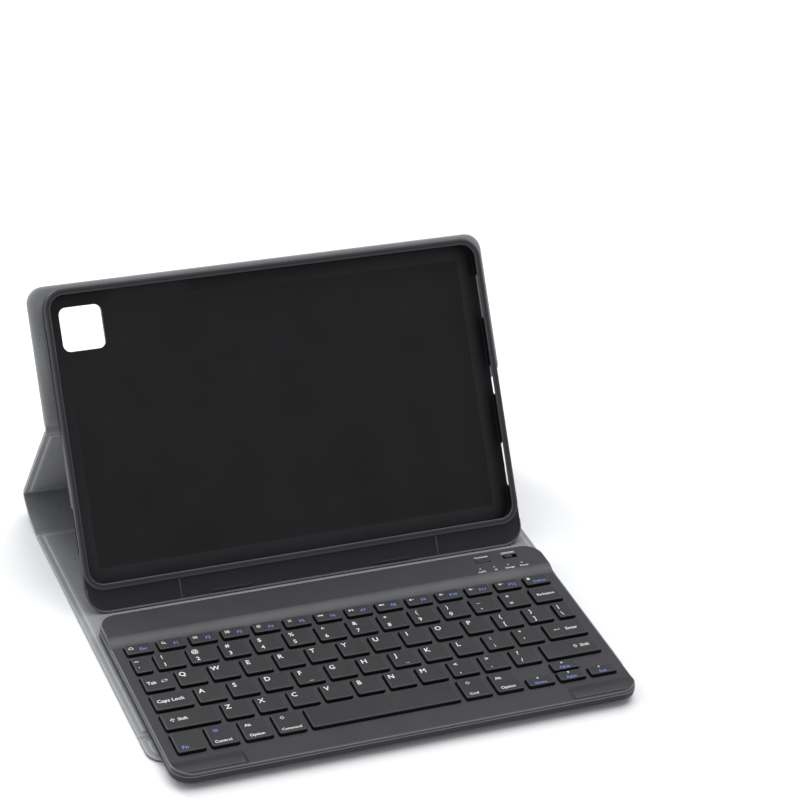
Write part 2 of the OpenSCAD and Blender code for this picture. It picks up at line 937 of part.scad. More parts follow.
mod_n = 4;
right_n = 5;
right_x0 = right_x + key_gap - right_n * pitch;
arrow_d = (bottom_row_d - 1.2) / 2;
space_x0 = left_x + mod_n * pitch;
bottom_row = concat(
    key_run(left_x, mod_n, 0, pitch, bottom_row_d),
    [key(space_x0, row_y(0), right_x0 - key_gap - space_x0, bottom_row_d)],
    key_run(right_x0, 2, 0, pitch, bottom_row_d),
    [key(right_x0 + 2 * pitch, row_y(0), letter_w, arrow_d),
        key(right_x0 + 3 * pitch, row_y(0) + bottom_row_d - arrow_d, letter_w, arrow_d),
        key(right_x0 + 3 * pitch, row_y(0), letter_w, arrow_d),
        key(right_x0 + 4 * pitch, row_y(0), letter_w, arrow_d)]);
ROWS = [
    bottom_row,
    framed_row(1, shift_w, letter_n - 2),
    framed_row(2, caps_w, letter_n - 1),
    framed_row(3, tab_w, letter_n),
    framed_row(4, grave_w, letter_n),
    key_run(left_x, fn_n, 5, fn_pitch, fn_row_d)];

module key_hole(k) {
    translate([k[0] + k[2] / 2, k[1] - key_clear, deck_z - deck_plate - 2])
        slab_of(k[2] + 2 * key_clear, k[3] + 2 * key_clear, key_r + key_clear, deck_plate + 4);
}

module slab_of(w, d, r, h) {
    slab(w, d, r, r, 0, h);
}

// A key is a cap with walls, open below over its dome
module key_cap(k) {
    color(key_black)
        on_keyboard()
            translate([k[0] + k[2] / 2, k[1], key_bottom])
                difference() {
                    slab_of(k[2], k[3], key_r, key_top - key_bottom);
                    translate([0, key_wall, -1])
                        slab_of(k[2] - 2 * key_wall, k[3] - 2 * key_wall, 0.5,
                            key_top - key_bottom - 1.1 + 1);
                }
}

// Keys from number a to number b of a row
module keys(row, a, b) {
    for (i = [a:b])
        key_cap(ROWS[row][i]);
}

module fn_key() keys(0, 0, 0);
module control_key() keys(0, 1, 1);
module left_alt_key() keys(0, 2, 2);
module left_command_key() keys(0, 3, 3);
module space_bar() keys(0, 4, 4);
module right_command_key() keys(0, 5, 5);
module right_alt_key() keys(0, 6, 6);
module left_arrow_key() keys(0, 7, 7);
module up_arrow_key() keys(0, 8, 8);
module down_arrow_key() keys(0, 9, 9);
module right_arrow_key() keys(0, 10, 10);
module left_shift_key() keys(1, 0, 0);
module bottom_letter_keys() keys(1, 1, 10);
module right_shift_key() keys(1, 11, 11);
module caps_key() keys(2, 0, 0);
module home_letter_keys() keys(2, 1, 11);
module enter_key() keys(2, 12, 12);
module tab_key() keys(3, 0, 0);
module top_letter_keys() keys(3, 1, 12);
module backslash_key() keys(3, 13, 13);
module grave_key() keys(4, 0, 0);
module number_keys() keys(4, 1, 12);
module backspace_key() keys(4, 13, 13);
module esc_key() keys(5, 0, 0);
module function_keys() keys(5, 1, 12);
module delete_key() keys(5, 13, 13);

front_skin();
front_board();
front_lining();
edge_skin();
edge_board();
edge_lining();
flap_skin();
flap_board();
flap_lining();
spine_skin();
spine_lining();
prop_skin();
prop_board();
prop_lining();
back_skin();
back_board();
back_lining();
steel_plates();
flap_magnets();
tray_shell();
chin_magnets();
top_deck();
bottom_shell();
key_plate();
dome_sheet();
circuit_board();
battery();
charging_port();
lamp_lenses();
keyboard_magnets();
rubber_feet();
case_screws();
power_switch();
connect_button();
esc_key();
function_keys();
delete_key();
grave_key();
number_keys();
backspace_key();
tab_key();
top_letter_keys();
backslash_key();
caps_key();
home_letter_keys();
enter_key();
left_shift_key();
bottom_letter_keys();
right_shift_key();
fn_key();
control_key();
left_alt_key();
left_command_key();
space_bar();
right_command_key();
right_alt_key();
left_arrow_key();
up_arrow_key();
down_arrow_key();
right_arrow_key();
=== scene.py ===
import json
import math

import bmesh
import bpy
from mathutils import Matrix, Vector
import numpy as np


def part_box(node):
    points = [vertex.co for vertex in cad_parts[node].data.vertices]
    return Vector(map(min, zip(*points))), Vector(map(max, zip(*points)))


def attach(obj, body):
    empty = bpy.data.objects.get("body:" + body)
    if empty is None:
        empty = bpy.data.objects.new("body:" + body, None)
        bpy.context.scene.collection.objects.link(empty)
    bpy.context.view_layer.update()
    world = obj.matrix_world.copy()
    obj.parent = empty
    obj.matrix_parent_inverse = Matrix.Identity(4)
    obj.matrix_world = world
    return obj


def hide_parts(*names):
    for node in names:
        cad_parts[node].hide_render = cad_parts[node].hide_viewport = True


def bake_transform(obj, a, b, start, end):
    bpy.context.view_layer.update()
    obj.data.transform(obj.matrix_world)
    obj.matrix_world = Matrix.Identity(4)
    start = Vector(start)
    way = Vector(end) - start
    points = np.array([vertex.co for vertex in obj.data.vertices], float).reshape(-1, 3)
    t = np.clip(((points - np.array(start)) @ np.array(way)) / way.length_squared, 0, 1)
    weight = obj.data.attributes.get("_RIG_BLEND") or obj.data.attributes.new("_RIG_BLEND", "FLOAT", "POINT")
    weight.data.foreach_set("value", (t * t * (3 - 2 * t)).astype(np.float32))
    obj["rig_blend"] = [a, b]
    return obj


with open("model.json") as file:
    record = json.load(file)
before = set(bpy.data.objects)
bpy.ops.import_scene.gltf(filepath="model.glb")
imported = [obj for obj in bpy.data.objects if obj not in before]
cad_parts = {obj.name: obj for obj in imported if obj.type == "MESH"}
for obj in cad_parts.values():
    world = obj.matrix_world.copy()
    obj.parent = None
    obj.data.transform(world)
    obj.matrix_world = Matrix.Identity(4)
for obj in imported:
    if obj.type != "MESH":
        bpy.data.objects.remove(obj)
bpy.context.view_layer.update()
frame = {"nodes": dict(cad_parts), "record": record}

# Folio case for a tablet, open in the typing position, with its wireless keyboard.
# Lengths here are millimetres; every mesh is made in metres, in the frame's own coordinates.
MM = 0.001
NODES = frame["nodes"]
JOINTS = {j["name"]: j for j in frame["record"]["behaviour"]["joints"]}


def pin(joint):
    """A hinge's axis as (y, z) in millimetres."""
    return [c / MM for c in JOINTS[joint]["pos_m"][1:]]


def box(node):
    """Lowest and highest corner of a CAD node in millimetres."""
    lo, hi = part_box(node)
    return lo / MM, hi / MM


# ---------- places ----------


class Place:
    """A local frame: u is X, v runs at an angle up from Y, and n stands square on it."""

    def __init__(self, y, z, angle):
        a = math.radians(angle)
        self.y, self.z, self.angle = y, z, angle
        self.c, self.s = math.cos(a), math.sin(a)

    def at(self, u, v, n):
        return Vector(
            (u, self.y + v * self.c - n * self.s, self.z + v * self.s + n * self.c)
        ) * MM

    def moved(self, v, n):
        p = self.at(0, v, n) / MM
        return Place(p.y, p.z, self.angle)

    def along(self, y, z):
        """How far up v a point of the side view lies."""
        return (y - self.y) * self.c + (z - self.z) * self.s


# A panel's thickness and middle, and half the bare width of a crease between two panels
PANEL_T = 2.6
MID = PANEL_T / 2
CREASE = 1.0
# Height of the back crease above the foot of the tray, and the tray's lean from the vertical
CREASE_V = 98.0
TRAY_TILT = 35.0
SPINE_RISE = JOINTS["spine_fold"]["range_deg"][1]
PROP_ANGLE = SPINE_RISE + JOINTS["prop_fold"]["range_deg"][1]

front_lo, front_hi = box("front_skin")
edge_lo, edge_hi = box("edge_skin")
flap_lo, flap_hi = box("flap_skin")
COVER_W = front_hi.x - front_lo.x
FLAP_W = flap_hi.x - flap_lo.x
GROUND = Place(0, 0, 0)
SPINE = Place(*pin("spine_fold"), SPINE_RISE).moved(0, -MID)
PROP = Place(*pin("prop_fold"), PROP_ANGLE).moved(0, -MID)
TRAY = Place(*pin("tray_fold"), 90 - TRAY_TILT).moved(-CREASE_V, PANEL_T)
BACK = TRAY.moved(0, -PANEL_T)
SPINE_LEN = SPINE.along(*pin("prop_fold"))
PROP_LEN = PROP.along(*pin("tray_fold"))
shell_lo, shell_hi = box("bottom_shell")
KB = Place(shell_lo.y, shell_lo.z, 0)
KB_W = shell_hi.x - shell_lo.x
KB_D = shell_hi.y - shell_lo.y

# ---------- meshes ----------


def rr(w, v0, v1, r0, r1, inset=0.0, seg=8, u=0.0):
    """Outline of a rounded sheet, from its low left corner round by the right."""
    half, lo, hi = w / 2 - inset, v0 + inset, v1 - inset
    out = []
    for side, top, r, start in ((-1, 0, r0, 180), (1, 0, r0, 270), (1, 1, r1, 0), (-1, 1, r1, 90)):
        r = max(r - inset, 0.05)
        cu = side * (half - r)
        cv = hi - r if top else lo + r
        for i in range(seg + 1):
            a = math.radians(start + 90 * i / seg)
            out.append((u + cu + r * math.cos(a), cv + r * math.sin(a)))
    return out


def ring(place, outline, n):
    return [place.at(u, v, n) for u, v in outline]


def loft(rings, wear=(), loop=False):
    """Skin over rings of equal length, closed at both ends unless it is a loop; each ring gets a 0 to 1 share
    of lighter colour, for rubbed edges and painted highlights.
    """
    bm = bmesh.new()
    layer = bm.verts.layers.float.new("wear")
    rows = []
    for i, points in enumerate(rings):
        row = [bm.verts.new(p) for p in points]
        for v in row:
            v[layer] = wear[i] if wear else 0.0
        rows.append(row)
    pairs = list(zip(rows, rows[1:])) + ([(rows[-1], rows[0])] if loop else [])
    for a, b in pairs:
        for i in range(len(a)):
            j = (i + 1) % len(a)
            bm.faces.new((a[i], a[j], b[j], b[i]))
    if not loop:
        bm.faces.new(rows[0][::-1])
        bm.faces.new(rows[-1])
    bmesh.ops.recalc_face_normals(bm, faces=bm.faces)
    return bm


def stepped(outline, at, steps):
    """Skin over a profile of (inset, height, lightening) steps, the lightening for rubbed edges and painted
    highlights; outline(inset) gives each ring.
    """
    return loft([[at(a, b, n) for a, b in outline(i)] for i, n, _ in steps], [w for _, _, w in steps])


def prism(outline, at, depths):
    """Straight prism: at(a, b, depth) gives a point of the outline at a depth."""
    return loft([[at(a, b, d) for a, b in outline] for d in depths])


def disc(x, y, r, count=24):
    """Points of a circle."""
    turns = [2 * math.pi * i / count for i in range(count)]
    return [(x + r * math.cos(a), y + r * math.sin(a)) for a in turns]


def smooth(t):
    """Runs from 0 to 1 with soft ends."""
    t = min(max(t, 0), 1)
    return t * t * (3 - 2 * t)


def joined(parts):
    """One mesh from several."""
    out = parts[0]
    for bm in parts[1:]:
        me = bpy.data.meshes.new("part")
        bm.to_mesh(me)
        bm.free()
        out.from_mesh(me)
        bpy.data.meshes.remove(me)
    return out


def loose(bm, name):
    me = bpy.data.meshes.new(name)
    bm.to_mesh(me)
    bm.free()
    o = bpy.data.objects.new(name, me)
    bpy.context.scene.collection.objects.link(o)
    return o


def cut(bm, tools):
    """bm less each of the tools."""
    body = loose(bm, "cut_body")
    others = []
    for t in tools:
        other = loose(t, "cut_tool")
        m = body.modifiers.new("cut", "BOOLEAN")
        m.operation, m.solver, m.object = "DIFFERENCE", "EXACT", other
        others.append(other)
    bpy.context.view_layer.update()
    dg = bpy.context.evaluated_depsgraph_get()
    me = bpy.data.meshes.new_from_object(body.evaluated_get(dg))
    out = bmesh.new()
    out.from_mesh(me)
    bmesh.ops.remove_doubles(out, verts=out.verts, dist=1e-7)
    bpy.data.meshes.remove(me)
    for o in [body, *others]:
        old = o.data
        bpy.data.objects.remove(o)
        bpy.data.meshes.remove(old)
    return out


def piece(name, bm, material, slot, body=None, replaces=(), sharp=32, weigh=True):
    """A finished piece: smooth but for edges sharper than an angle, riding on its body."""
    for f in bm.faces:
        f.smooth = True
    for e in bm.edges:
        if len(e.link_faces) == 2 and e.calc_face_angle(0) > math.radians(sharp):
            e.smooth = False
    o = loose(bm, name)
    o.data.materials.append(material)
    if weigh:
        m = o.modifiers.new("normals", "WEIGHTED_NORMAL")
        m.keep_sharp = True
    if body:
        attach(o, body)
    if replaces:
        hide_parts(*replaces)
    return o


# ---------- materials ----------


class Mat:
    """A node material around one Principled shader."""

    def __init__(self, name, rough, metal=0.0, **sockets):
        self.m = bpy.data.materials.new(name)
        self.m.use_nodes = True
        self.t = self.m.node_tree
        self.p = self.t.nodes["Principled BSDF"]
        self.p.inputs["Roughness"].default_value = rough
        self.p.inputs["Metallic"].default_value = metal
        for key, value in sockets.items():
            self.p.inputs[key.replace("_", " ")].default_value = value
        self.co = self.t.nodes.new("ShaderNodeTexCoord").outputs["Object"]

    def link(self, a, b):
        self.t.links.new(a, b)

    def noise(self, scale, detail=3.0, rough=0.5):
        n = self.t.nodes.new("ShaderNodeTexNoise")
        n.inputs["Scale"].default_value = scale
        n.inputs["Detail"].default_value = detail
        n.inputs["Roughness"].default_value = rough
        self.link(self.co, n.inputs["Vector"])
        return n.outputs["Fac"]

    def cells(self, scale, feature="F1"):
        n = self.t.nodes.new("ShaderNodeTexVoronoi")
        n.feature = feature
        n.inputs["Scale"].default_value = scale
        self.link(self.co, n.inputs["Vector"])
        return n.outputs["Distance"]

    def ramp(self, fac, stops):
        n = self.t.nodes.new("ShaderNodeValToRGB")
        while len(n.color_ramp.elements) < len(stops):
            n.color_ramp.elements.new(0.5)
        for e, (at, value) in zip(n.color_ramp.elements, stops):
            e.position = at
            e.color = (*value, 1) if isinstance(value, tuple) else (value, value, value, 1)
        self.link(fac, n.inputs["Fac"])
        return n.outputs["Color"]

    def math(self, op, a, b):
        n = self.t.nodes.new("ShaderNodeMath")
        n.operation = op
        for socket, value in zip(n.inputs, (a, b)):
            if isinstance(value, (int, float)):
                socket.default_value = value
            else:
                self.link(value, socket)
        return n.outputs[0]

    def mix(self, fac, a, b):
        n = self.t.nodes.new("ShaderNodeMix")
        n.data_type = "RGBA"
        for socket, value in ((n.inputs["Factor"], fac), (n.inputs["A"], a), (n.inputs["B"], b)):
            if isinstance(value, tuple):
                socket.default_value = (*value, 1)
            elif isinstance(value, (int, float)):
                socket.default_value = value
            else:
                self.link(value, socket)
        return n.outputs["Result"]

    def worn(self, colour, light):
        """Adds a lighter colour where the mesh marks rubbed edges and painted highlights."""
        n = self.t.nodes.new("ShaderNodeAttribute")
        n.attribute_name = "wear"
        return self.mix(n.outputs["Fac"], colour, light)

    def colour(self, out):
        self.link(out, self.p.inputs["Base Color"])

    def roughness(self, out):
        self.link(out, self.p.inputs["Roughness"])

    def bump(self, *heights):
        """Each height is (socket, strength, distance in millimetres)."""
        last = None
        for out, strength, depth in heights:
            n = self.t.nodes.new("ShaderNodeBump")
            n.inputs["Strength"].default_value = strength
            n.inputs["Distance"].default_value = depth * MM
            self.link(out, n.inputs["Height"])
            if last:
                self.link(last, n.inputs["Normal"])
            last = n.outputs["Normal"]
        self.link(last, self.p.inputs["Normal"])


def tint(grey):
    """A grey with the slight blue of black plastic."""
    return grey, grey * 0.98, grey * 1.16


def plastic(name, dark, light, edge, rough, grain):
    """Moulded plastic with a fine spark-eroded grain, slight colour drift, and a lighter colour for rubbed
    edges and painted highlights where the mesh marks them.
    """
    spread, depth, strength = 0.06, 0.03, 0.25
    m = Mat(name, rough, Specular_IOR_Level=0.3)
    m.colour(m.worn(m.ramp(m.noise(35, 2), [(0.3, tint(dark)), (0.7, tint(light))]), edge))
    m.roughness(m.ramp(m.noise(60, 4), [(0.3, rough - spread), (0.7, rough + spread)]))
    m.bump((m.noise(grain, 2, 0.6), strength, depth), (m.cells(grain * 0.6), strength * 0.6, depth))
    return m.m


def metal(name, colour, rough, scale):
    m = Mat(name, rough, 1.0)
    low = tuple(c * 0.8 for c in colour)
    m.colour(m.ramp(m.noise(scale, 4), [(0.3, low), (0.7, colour)]))
    m.roughness(m.ramp(m.noise(scale * 3, 4), [(0.3, rough - 0.06), (0.7, rough + 0.08)]))
    m.bump((m.noise(scale * 8, 2), 0.1, 0.02))
    return m.m


def print_ink(name, colour, low):
    m = Mat(name, 0.5, Specular_IOR_Level=0.3)
    m.colour(m.ramp(m.noise(900, 3), [(0.35, low), (0.6, colour)]))
    m.bump((m.noise(3000, 2), 0.1, 0.01))
    return m.m


def leather():
    m = Mat("cover_leather", 0.5, Specular_IOR_Level=0.4, Sheen_Weight=0.08, Sheen_Roughness=0.5)
    base = m.ramp(m.noise(28, 3), [(0.3, (0.017, 0.027, 0.063)), (0.7, (0.022, 0.034, 0.077))])
    pits = m.cells(900)
    base = m.mix(m.ramp(pits, [(0.1, 0.0), (0.7, 0.8)]), base, (0.006, 0.011, 0.03))
    m.colour(m.worn(base, (0.055, 0.075, 0.14)))
    m.roughness(m.ramp(m.noise(90, 4), [(0.3, 0.44), (0.7, 0.58)]))
    m.bump((pits, 0.9, 0.3), (m.noise(2400, 2), 0.25, 0.06), (m.noise(160, 2), 0.1, 0.2))
    return m.m


def microfibre():
    m = Mat("lining", 0.92, Specular_IOR_Level=0.2, Sheen_Weight=0.3, Sheen_Roughness=0.4)
    base = m.ramp(m.noise(30, 4), [(0.25, (0.2, 0.203, 0.208)), (0.75, (0.25, 0.253, 0.258))])
    nap = m.noise(1100, 3, 0.7)
    base = m.mix(m.ramp(nap, [(0.36, 0.5), (0.56, 0.0)]), base, (0.11, 0.112, 0.116))
    fibre = m.noise(3200, 4, 0.7)
    base = m.mix(m.ramp(fibre, [(0.35, 0.0), (0.7, 0.45)]), base, (0.34, 0.343, 0.347))
    m.colour(m.worn(base, (0.42, 0.43, 0.44)))
    m.bump((fibre, 0.4, 0.08), (nap, 0.3, 0.15), (m.noise(500, 3), 0.15, 0.06))
    return m.m


def greyboard():
    m = Mat("board", 0.9)
    m.colour(m.ramp(m.noise(500, 5), [(0.3, (0.2, 0.16, 0.11)), (0.7, (0.32, 0.27, 0.2))]))
    m.bump((m.noise(1500, 4), 0.3, 0.08))
    return m.m


def foil():
    m = Mat("battery_foil", 0.35, 0.9)
    m.colour(m.ramp(m.noise(120, 4), [(0.3, (0.42, 0.43, 0.46)), (0.7, (0.58, 0.59, 0.62))]))
    m.bump((m.noise(240, 3), 0.3, 0.1))
    return m.m


def circuit():
    m = Mat("circuit", 0.4)
    lines = m.cells(420, "DISTANCE_TO_EDGE")
    m.colour(m.mix(m.ramp(lines, [(0.02, 1.0), (0.06, 0.0)]), (0.015, 0.09, 0.035), (0.05, 0.2, 0.08)))
    m.bump((lines, 0.2, 0.05))
    return m.m


def lamp_glass():
    m = Mat("lens", 0.25, Transmission_Weight=0.6, IOR=1.49)
    m.colour(m.ramp(m.noise(900, 2), [(0.3, (0.6, 0.62, 0.63)), (0.7, (0.8, 0.82, 0.83))]))
    m.bump((m.noise(1500, 2), 0.1, 0.02))
    return m.m


LEATHER, LINING, BOARD = leather(), microfibre(), greyboard()
# The third colour of each plastic is the lighter colour for rubbed edges and painted highlights.
TRAY_BLACK = plastic("tray_plastic", 0.0045, 0.0075, (0.075, 0.075, 0.085), 0.42, 1500)
SHELL = plastic("shell_plastic", 0.018, 0.024, (0.19, 0.19, 0.2), 0.46, 2200)
KEY = plastic("key_plastic", 0.0025, 0.0035, (0.055, 0.054, 0.062), 0.5, 2600)
RUBBER = plastic("foot_rubber", 0.01, 0.016, (0.03, 0.03, 0.03), 0.8, 1800)
DOME = plastic("dome_rubber", 0.012, 0.02, (0.04, 0.04, 0.04), 0.7, 900)
STEEL = metal("steel", (0.62, 0.63, 0.65), 0.35, 150)
MAGNET = metal("magnet", (0.5, 0.5, 0.51), 0.28, 200)
FOIL, CIRCUIT, LENS = foil(), circuit(), lamp_glass()
WHITE_INK = print_ink("white_print", (0.8, 0.81, 0.82), (0.68, 0.69, 0.7))
BLUE_INK = print_ink("blue_print", (0.16, 0.24, 0.62), (0.12, 0.19, 0.5))

# ---------- cover panels ----------

SKIN_T = 0.7


def panel(name, place, w, v0, v1, r0, r1, body, window=None, step=True):
    """Leather below with an embossed border, lining above that steps up over the board.

    The steps from ring to ring are (inset, height) from the outside of the panel.
    """

    def rings(steps):
        return [ring(place, rr(w, v0, v1, r0, r1, i), n) for i, n in steps]

    out = [(5.0, 0.0), (4.6, 0.2), (4.1, 0.2), (3.7, 0.0), (0.5, 0.0), (0.16, 0.1), (0, 0.32), (0, SKIN_T)]
    # The skin's rounded border gets a lighter colour: rubbed edges and painted highlight.
    skin = loft(rings(out), [0, 0, 0, 0.25, 0.1, 1, 0.7, 0.3])
    steps = [(2.6, 1.9), (2.6, SKIN_T), (0.02, SKIN_T), (0.02, 1.5), (0.18, 1.78), (0.6, 1.88),
             (2.2, 1.9), (2.75, 2.1), (3.2, 2.42), (3.9, 2.56), (5.5, PANEL_T)]
    # Lighter colour on the lining's rim and over the board's step: painted highlights along these edges, with
    # rubbed edges.
    wear = [0, 0, 0, 0.8, 0.9, 0.4, 0, 0.2, 0.8, 0.3, 0]
    if not step:
        steps[5:] = [(0.5, 2.1), (1.1, 2.36), (1.9, 2.5), (3.0, 2.56), (4.4, 2.58), (5.5, PANEL_T)]
        wear[3:] = [0.5, 0.5, 0.3, 0.2, 0.1, 0, 0, 0]
    lining = loft(rings(steps), wear)
    if window:
        skin = cut(skin, [window()])
        lining = cut(lining, [window()])
    piece(name + "_leather", skin, LEATHER, "cover_leather", body, [name + "_skin"])
    piece(name + "_microfibre", lining, LINING, "lining", body, [name + "_lining"])


CAMERA_W = 24.0
CAMERA_AT = (-101.0, 147.0)


def camera_window(size=CAMERA_W, n0=-6.0, n1=0.55):
    """Square hole behind the tablet's camera, between two heights above the tray's back."""
    outline = [(CAMERA_AT[0] + a, CAMERA_AT[1] + b) for a, b in rr(size, -size / 2, size / 2, 4, 4)]
    return prism(outline, TRAY.at, (n0, n1))


panel("front", GROUND, COVER_W, front_lo.y, front_hi.y, 0.3, 2, "base")
panel("edge", GROUND, COVER_W, edge_lo.y, edge_hi.y, 9, 0.3, "edge")
panel("flap", GROUND, FLAP_W, flap_lo.y, flap_hi.y, 12, 0.3, "flap")
panel("prop", PROP, COVER_W, CREASE, PROP_LEN - CREASE, 2, 2, "prop")
BACK_V1 = 171.0
panel("back", BACK, COVER_W, CREASE_V + CREASE, BACK_V1, 0.3, 9, "tray", camera_window, False)

# ---------- folds ----------


def strip(profile, w):
    """Band across the cover with a closed outline in the side view."""
    edge = 0.25
    xs = (-w / 2, -w / 2 + edge, w / 2 - edge, w / 2)
    return loft([[Vector((x * MM, p.y, p.z)) for p in profile] for x in xs], [1, 0, 0, 1])


def bend(a, va, b, vb, n, count=9):
    """Curve from frame a at va to frame b at vb at one height above the skin."""
    p0, p3 = a.at(0, va, n), b.at(0, vb, n)
    reach = (p3 - p0).length * 0.38
    p1 = p0 + Vector((0, a.c, a.s)) * reach
    p2 = p3 - Vector((0, b.c, b.s)) * reach
    out = []
    for i in range(count):
        t = i / (count - 1)
        s = 1 - t
        out.append(p0 * s**3 + p1 * 3 * s * s * t + p2 * 3 * s * t * t + p3 * t**3)
    return out


def fold(name, a, va, b, vb, w, bodies, heights=(0.45, 1.15, 1.85)):
    """Soft skin and lining between two panels; it bends with the joint between them."""
    tuck = 0.35
    low, mid, high = [bend(a, va - tuck, b, vb + tuck, n) for n in heights]
    for suffix, outer, inner, material, slot in (
        ("_leather", low, mid, LEATHER, "cover_leather"),
        ("_microfibre", mid, high, LINING, "lining"),
    ):
        o = piece(name + suffix, strip(outer + inner[::-1], w), material, slot, sharp=50, weigh=False)
        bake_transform(o, *bodies, a.at(0, va, MID), b.at(0, vb, MID))


SPINE_N = (0.6, 1.3, 2.0)
fold("edge_crease", GROUND, edge_hi.y, GROUND, front_lo.y, COVER_W - 0.4, ("edge", "base"))
fold("flap_crease", GROUND, flap_hi.y, GROUND, edge_lo.y, FLAP_W - 3, ("flap", "edge"))
fold("front_crease", GROUND, front_hi.y, SPINE, CREASE, COVER_W - 0.4, ("base", "spine"), SPINE_N)
fold("foot_crease", SPINE, SPINE_LEN - CREASE, PROP, CREASE, COVER_W - 0.4, ("spine", "prop"), SPINE_N)
fold("back_crease", PROP, PROP_LEN - CREASE, BACK, CREASE_V + CREASE, COVER_W - 0.4, ("prop", "tray"))

BULGE = 1.4


def spine_band(n0, n1):
    """The spine has no board, so it bows out a little."""
    steps = 16
    curve = [CREASE + (SPINE_LEN - 2 * CREASE) * i / steps for i in range(steps + 1)]
    bow = [BULGE * math.sin(math.pi * i / steps) ** 1.2 for i in range(steps + 1)]
    low = [SPINE.at(0, v, n0 - b) for v, b in zip(curve, bow)]
    high = [SPINE.at(0, v, n1 - b) for v, b in zip(curve, bow)]
    return strip(low + high[::-1], COVER_W - 0.2)


piece("spine_leather", spine_band(*SPINE_N[:2]), LEATHER, "cover_leather", "spine", ["spine_skin"], 50)
piece("spine_microfibre", spine_band(*SPINE_N[1:]), LINING, "lining", "spine", ["spine_lining"], 50)

# ---------- tray ----------

TRAY_W, TRAY_V1, TRAY_R, TRAY_WALL = 244.0, 168.0, 11.0, 1.6
CHIN_H = 12.0
FOOT_V = (box("tray_shell")[0].z - TRAY.z) / TRAY.s
# The slots in the walls: height of their middle, half their width, corner and half their depth
SLOT_N, SLOT_HALF, SLOT_R, SLOT_REACH = 5.25, 3.0, 1.6, 4.0
SPEAKER_SLOT, SPEAKER_OFF = 24.0, 46.0
PLUG_SLOT, PLUG_V = 16.0, 90.0
BUTTON_SLOT, BUTTON_U = 44.0, -62.0


def foot_cut(n):
    """Where the level foot of the tray crosses a height above its back."""
    return FOOT_V - n / math.tan(math.radians(90 - TRAY_TILT))


def tray_outline(inset, n, seg=12):
    return rr(TRAY_W, foot_cut(n), TRAY_V1, TRAY_R, TRAY_R, inset, seg)


def cavity_outline(inset):
    r = TRAY_R - TRAY_WALL
    return rr(TRAY_W - 2 * TRAY_WALL, CHIN_H + TRAY_WALL, TRAY_V1 - TRAY_WALL, r, r, inset, 12)


def slot_outline(length, middle):
    """Outline of a slot, by its length along the wall and its middle there."""
    return [(middle + a, SLOT_N + b) for a, b in rr(length, -SLOT_HALF, SLOT_HALF, SLOT_R, SLOT_R, 0, 5)]


def side_slot(side, v, length):
    depths = [side * (TRAY_W / 2 + reach) for reach in (-SLOT_REACH, SLOT_REACH)]
    return prism(slot_outline(length, v), lambda a, b, d: TRAY.at(d, a, b), depths)


def top_slot(u, length):
    depths = [TRAY_V1 + reach for reach in (-SLOT_REACH, SLOT_REACH)]
    return prism(slot_outline(length, u), lambda a, b, d: TRAY.at(a, d, b), depths)


def tray_body():
    """Rounded back and walls round the tablet's room, on (inset, height, lightening) steps; the lightening
    marks rubbed edges and painted highlights.
    """
    outer = [(3.6, 0.45, 0), (2.6, 0.62, 0.2), (1.7, 1.3, 0.1), (0.9, 2.6, 0), (0.35, 4.4, 0),
             (0.08, 6.4, 0), (0, 7.6, 0), (0, 9.2, 0.2), (0.25, 9.5, 0.3)]
    rings = [ring(TRAY, tray_outline(i, n), n) for i, n, _ in outer]
    wear = [x for _, _, x in outer]
    inner = [(0, 9.5), (0, 2.5), (0.25, 1.9), (0.9, 1.62), (9, 1.6), (9.4, 1.35), (12, 1.32)]
    rings += [ring(TRAY, cavity_outline(i), n) for i, n in inner]
    wear += [0, 0, 0, 0, 0.15, 0, 0]
    tools = [side_slot(side, PLUG_V + off, SPEAKER_SLOT)
             for side in (-1, 1) for off in (-SPEAKER_OFF, SPEAKER_OFF)]
    tools += [side_slot(1, PLUG_V, PLUG_SLOT), top_slot(BUTTON_U, BUTTON_SLOT)]
    tools.append(camera_window(CAMERA_W - 1, -1, 3))
    return cut(loft(rings, wear), tools)


piece("tray_body", tray_body(), TRAY_BLACK, "tray_plastic", "tray", ["tray_shell"])

# Lip and rim profiles as (inset, height, lightening); the lightening paints highlights on their rounded tops,
# with rubbed edges.
LIP = [(0.3, 8.9, 0), (0, 9.25, 0.3), (0, 9.75, 0.8), (0.22, 10.1, 1), (0.75, 10.3, 0.8),
       (1.5, 10.3, 0.3), (2.4, 10.28, 0.3), (2.95, 10.12, 0.9), (3.25, 9.75, 1), (3.3, 9.2, 0.5),
       (3.05, 8.92, 0.2), (1.7, 8.9, 0)]
RIM = [(0.05, 9.2, 0), (0, 9.8, 0.6), (0.2, 10.15, 1), (0.5, 10.3, 1), (0.85, 10.15, 0.8),
       (1.0, 9.8, 0.4), (1.0, 9.2, 0)]
RIM_SEG = 14
RIM_TOP = 14.0


def lip():
    """Rounded lip that holds the tablet all the way round."""
    rings = [ring(TRAY, rr(TRAY_W, CHIN_H, TRAY_V1, TRAY_R, TRAY_R, i, 14), n) for i, n, _ in LIP]
    return loft(rings, [x for _, _, x in LIP], loop=True)


def chin_rim():
    """Thin rim along the foot and round its corners."""
    loops = []
    for i, n, _ in RIM:
        corners = tray_outline(i, n, RIM_SEG)[: 2 * RIM_SEG + 2]
        half = TRAY_W / 2 - i
        loops.append([(-half, RIM_TOP)] + corners + [(half, RIM_TOP)])
    count = len(loops[0])
    rings = [[TRAY.at(*loop[k], p[1]) for loop, p in zip(loops, RIM)] for k in range(count)]
    bm = loft(rings)
    layer = bm.verts.layers.float["wear"]
    bm.verts.ensure_lookup_table()
    for k, v in enumerate(bm.verts):
        v[layer] = RIM[k % len(RIM)][2]
    return bm


piece("tray_lip", lip(), TRAY_BLACK, "tray_plastic", "tray")
piece("chin_rim", chin_rim(), TRAY_BLACK, "tray_plastic", "tray")


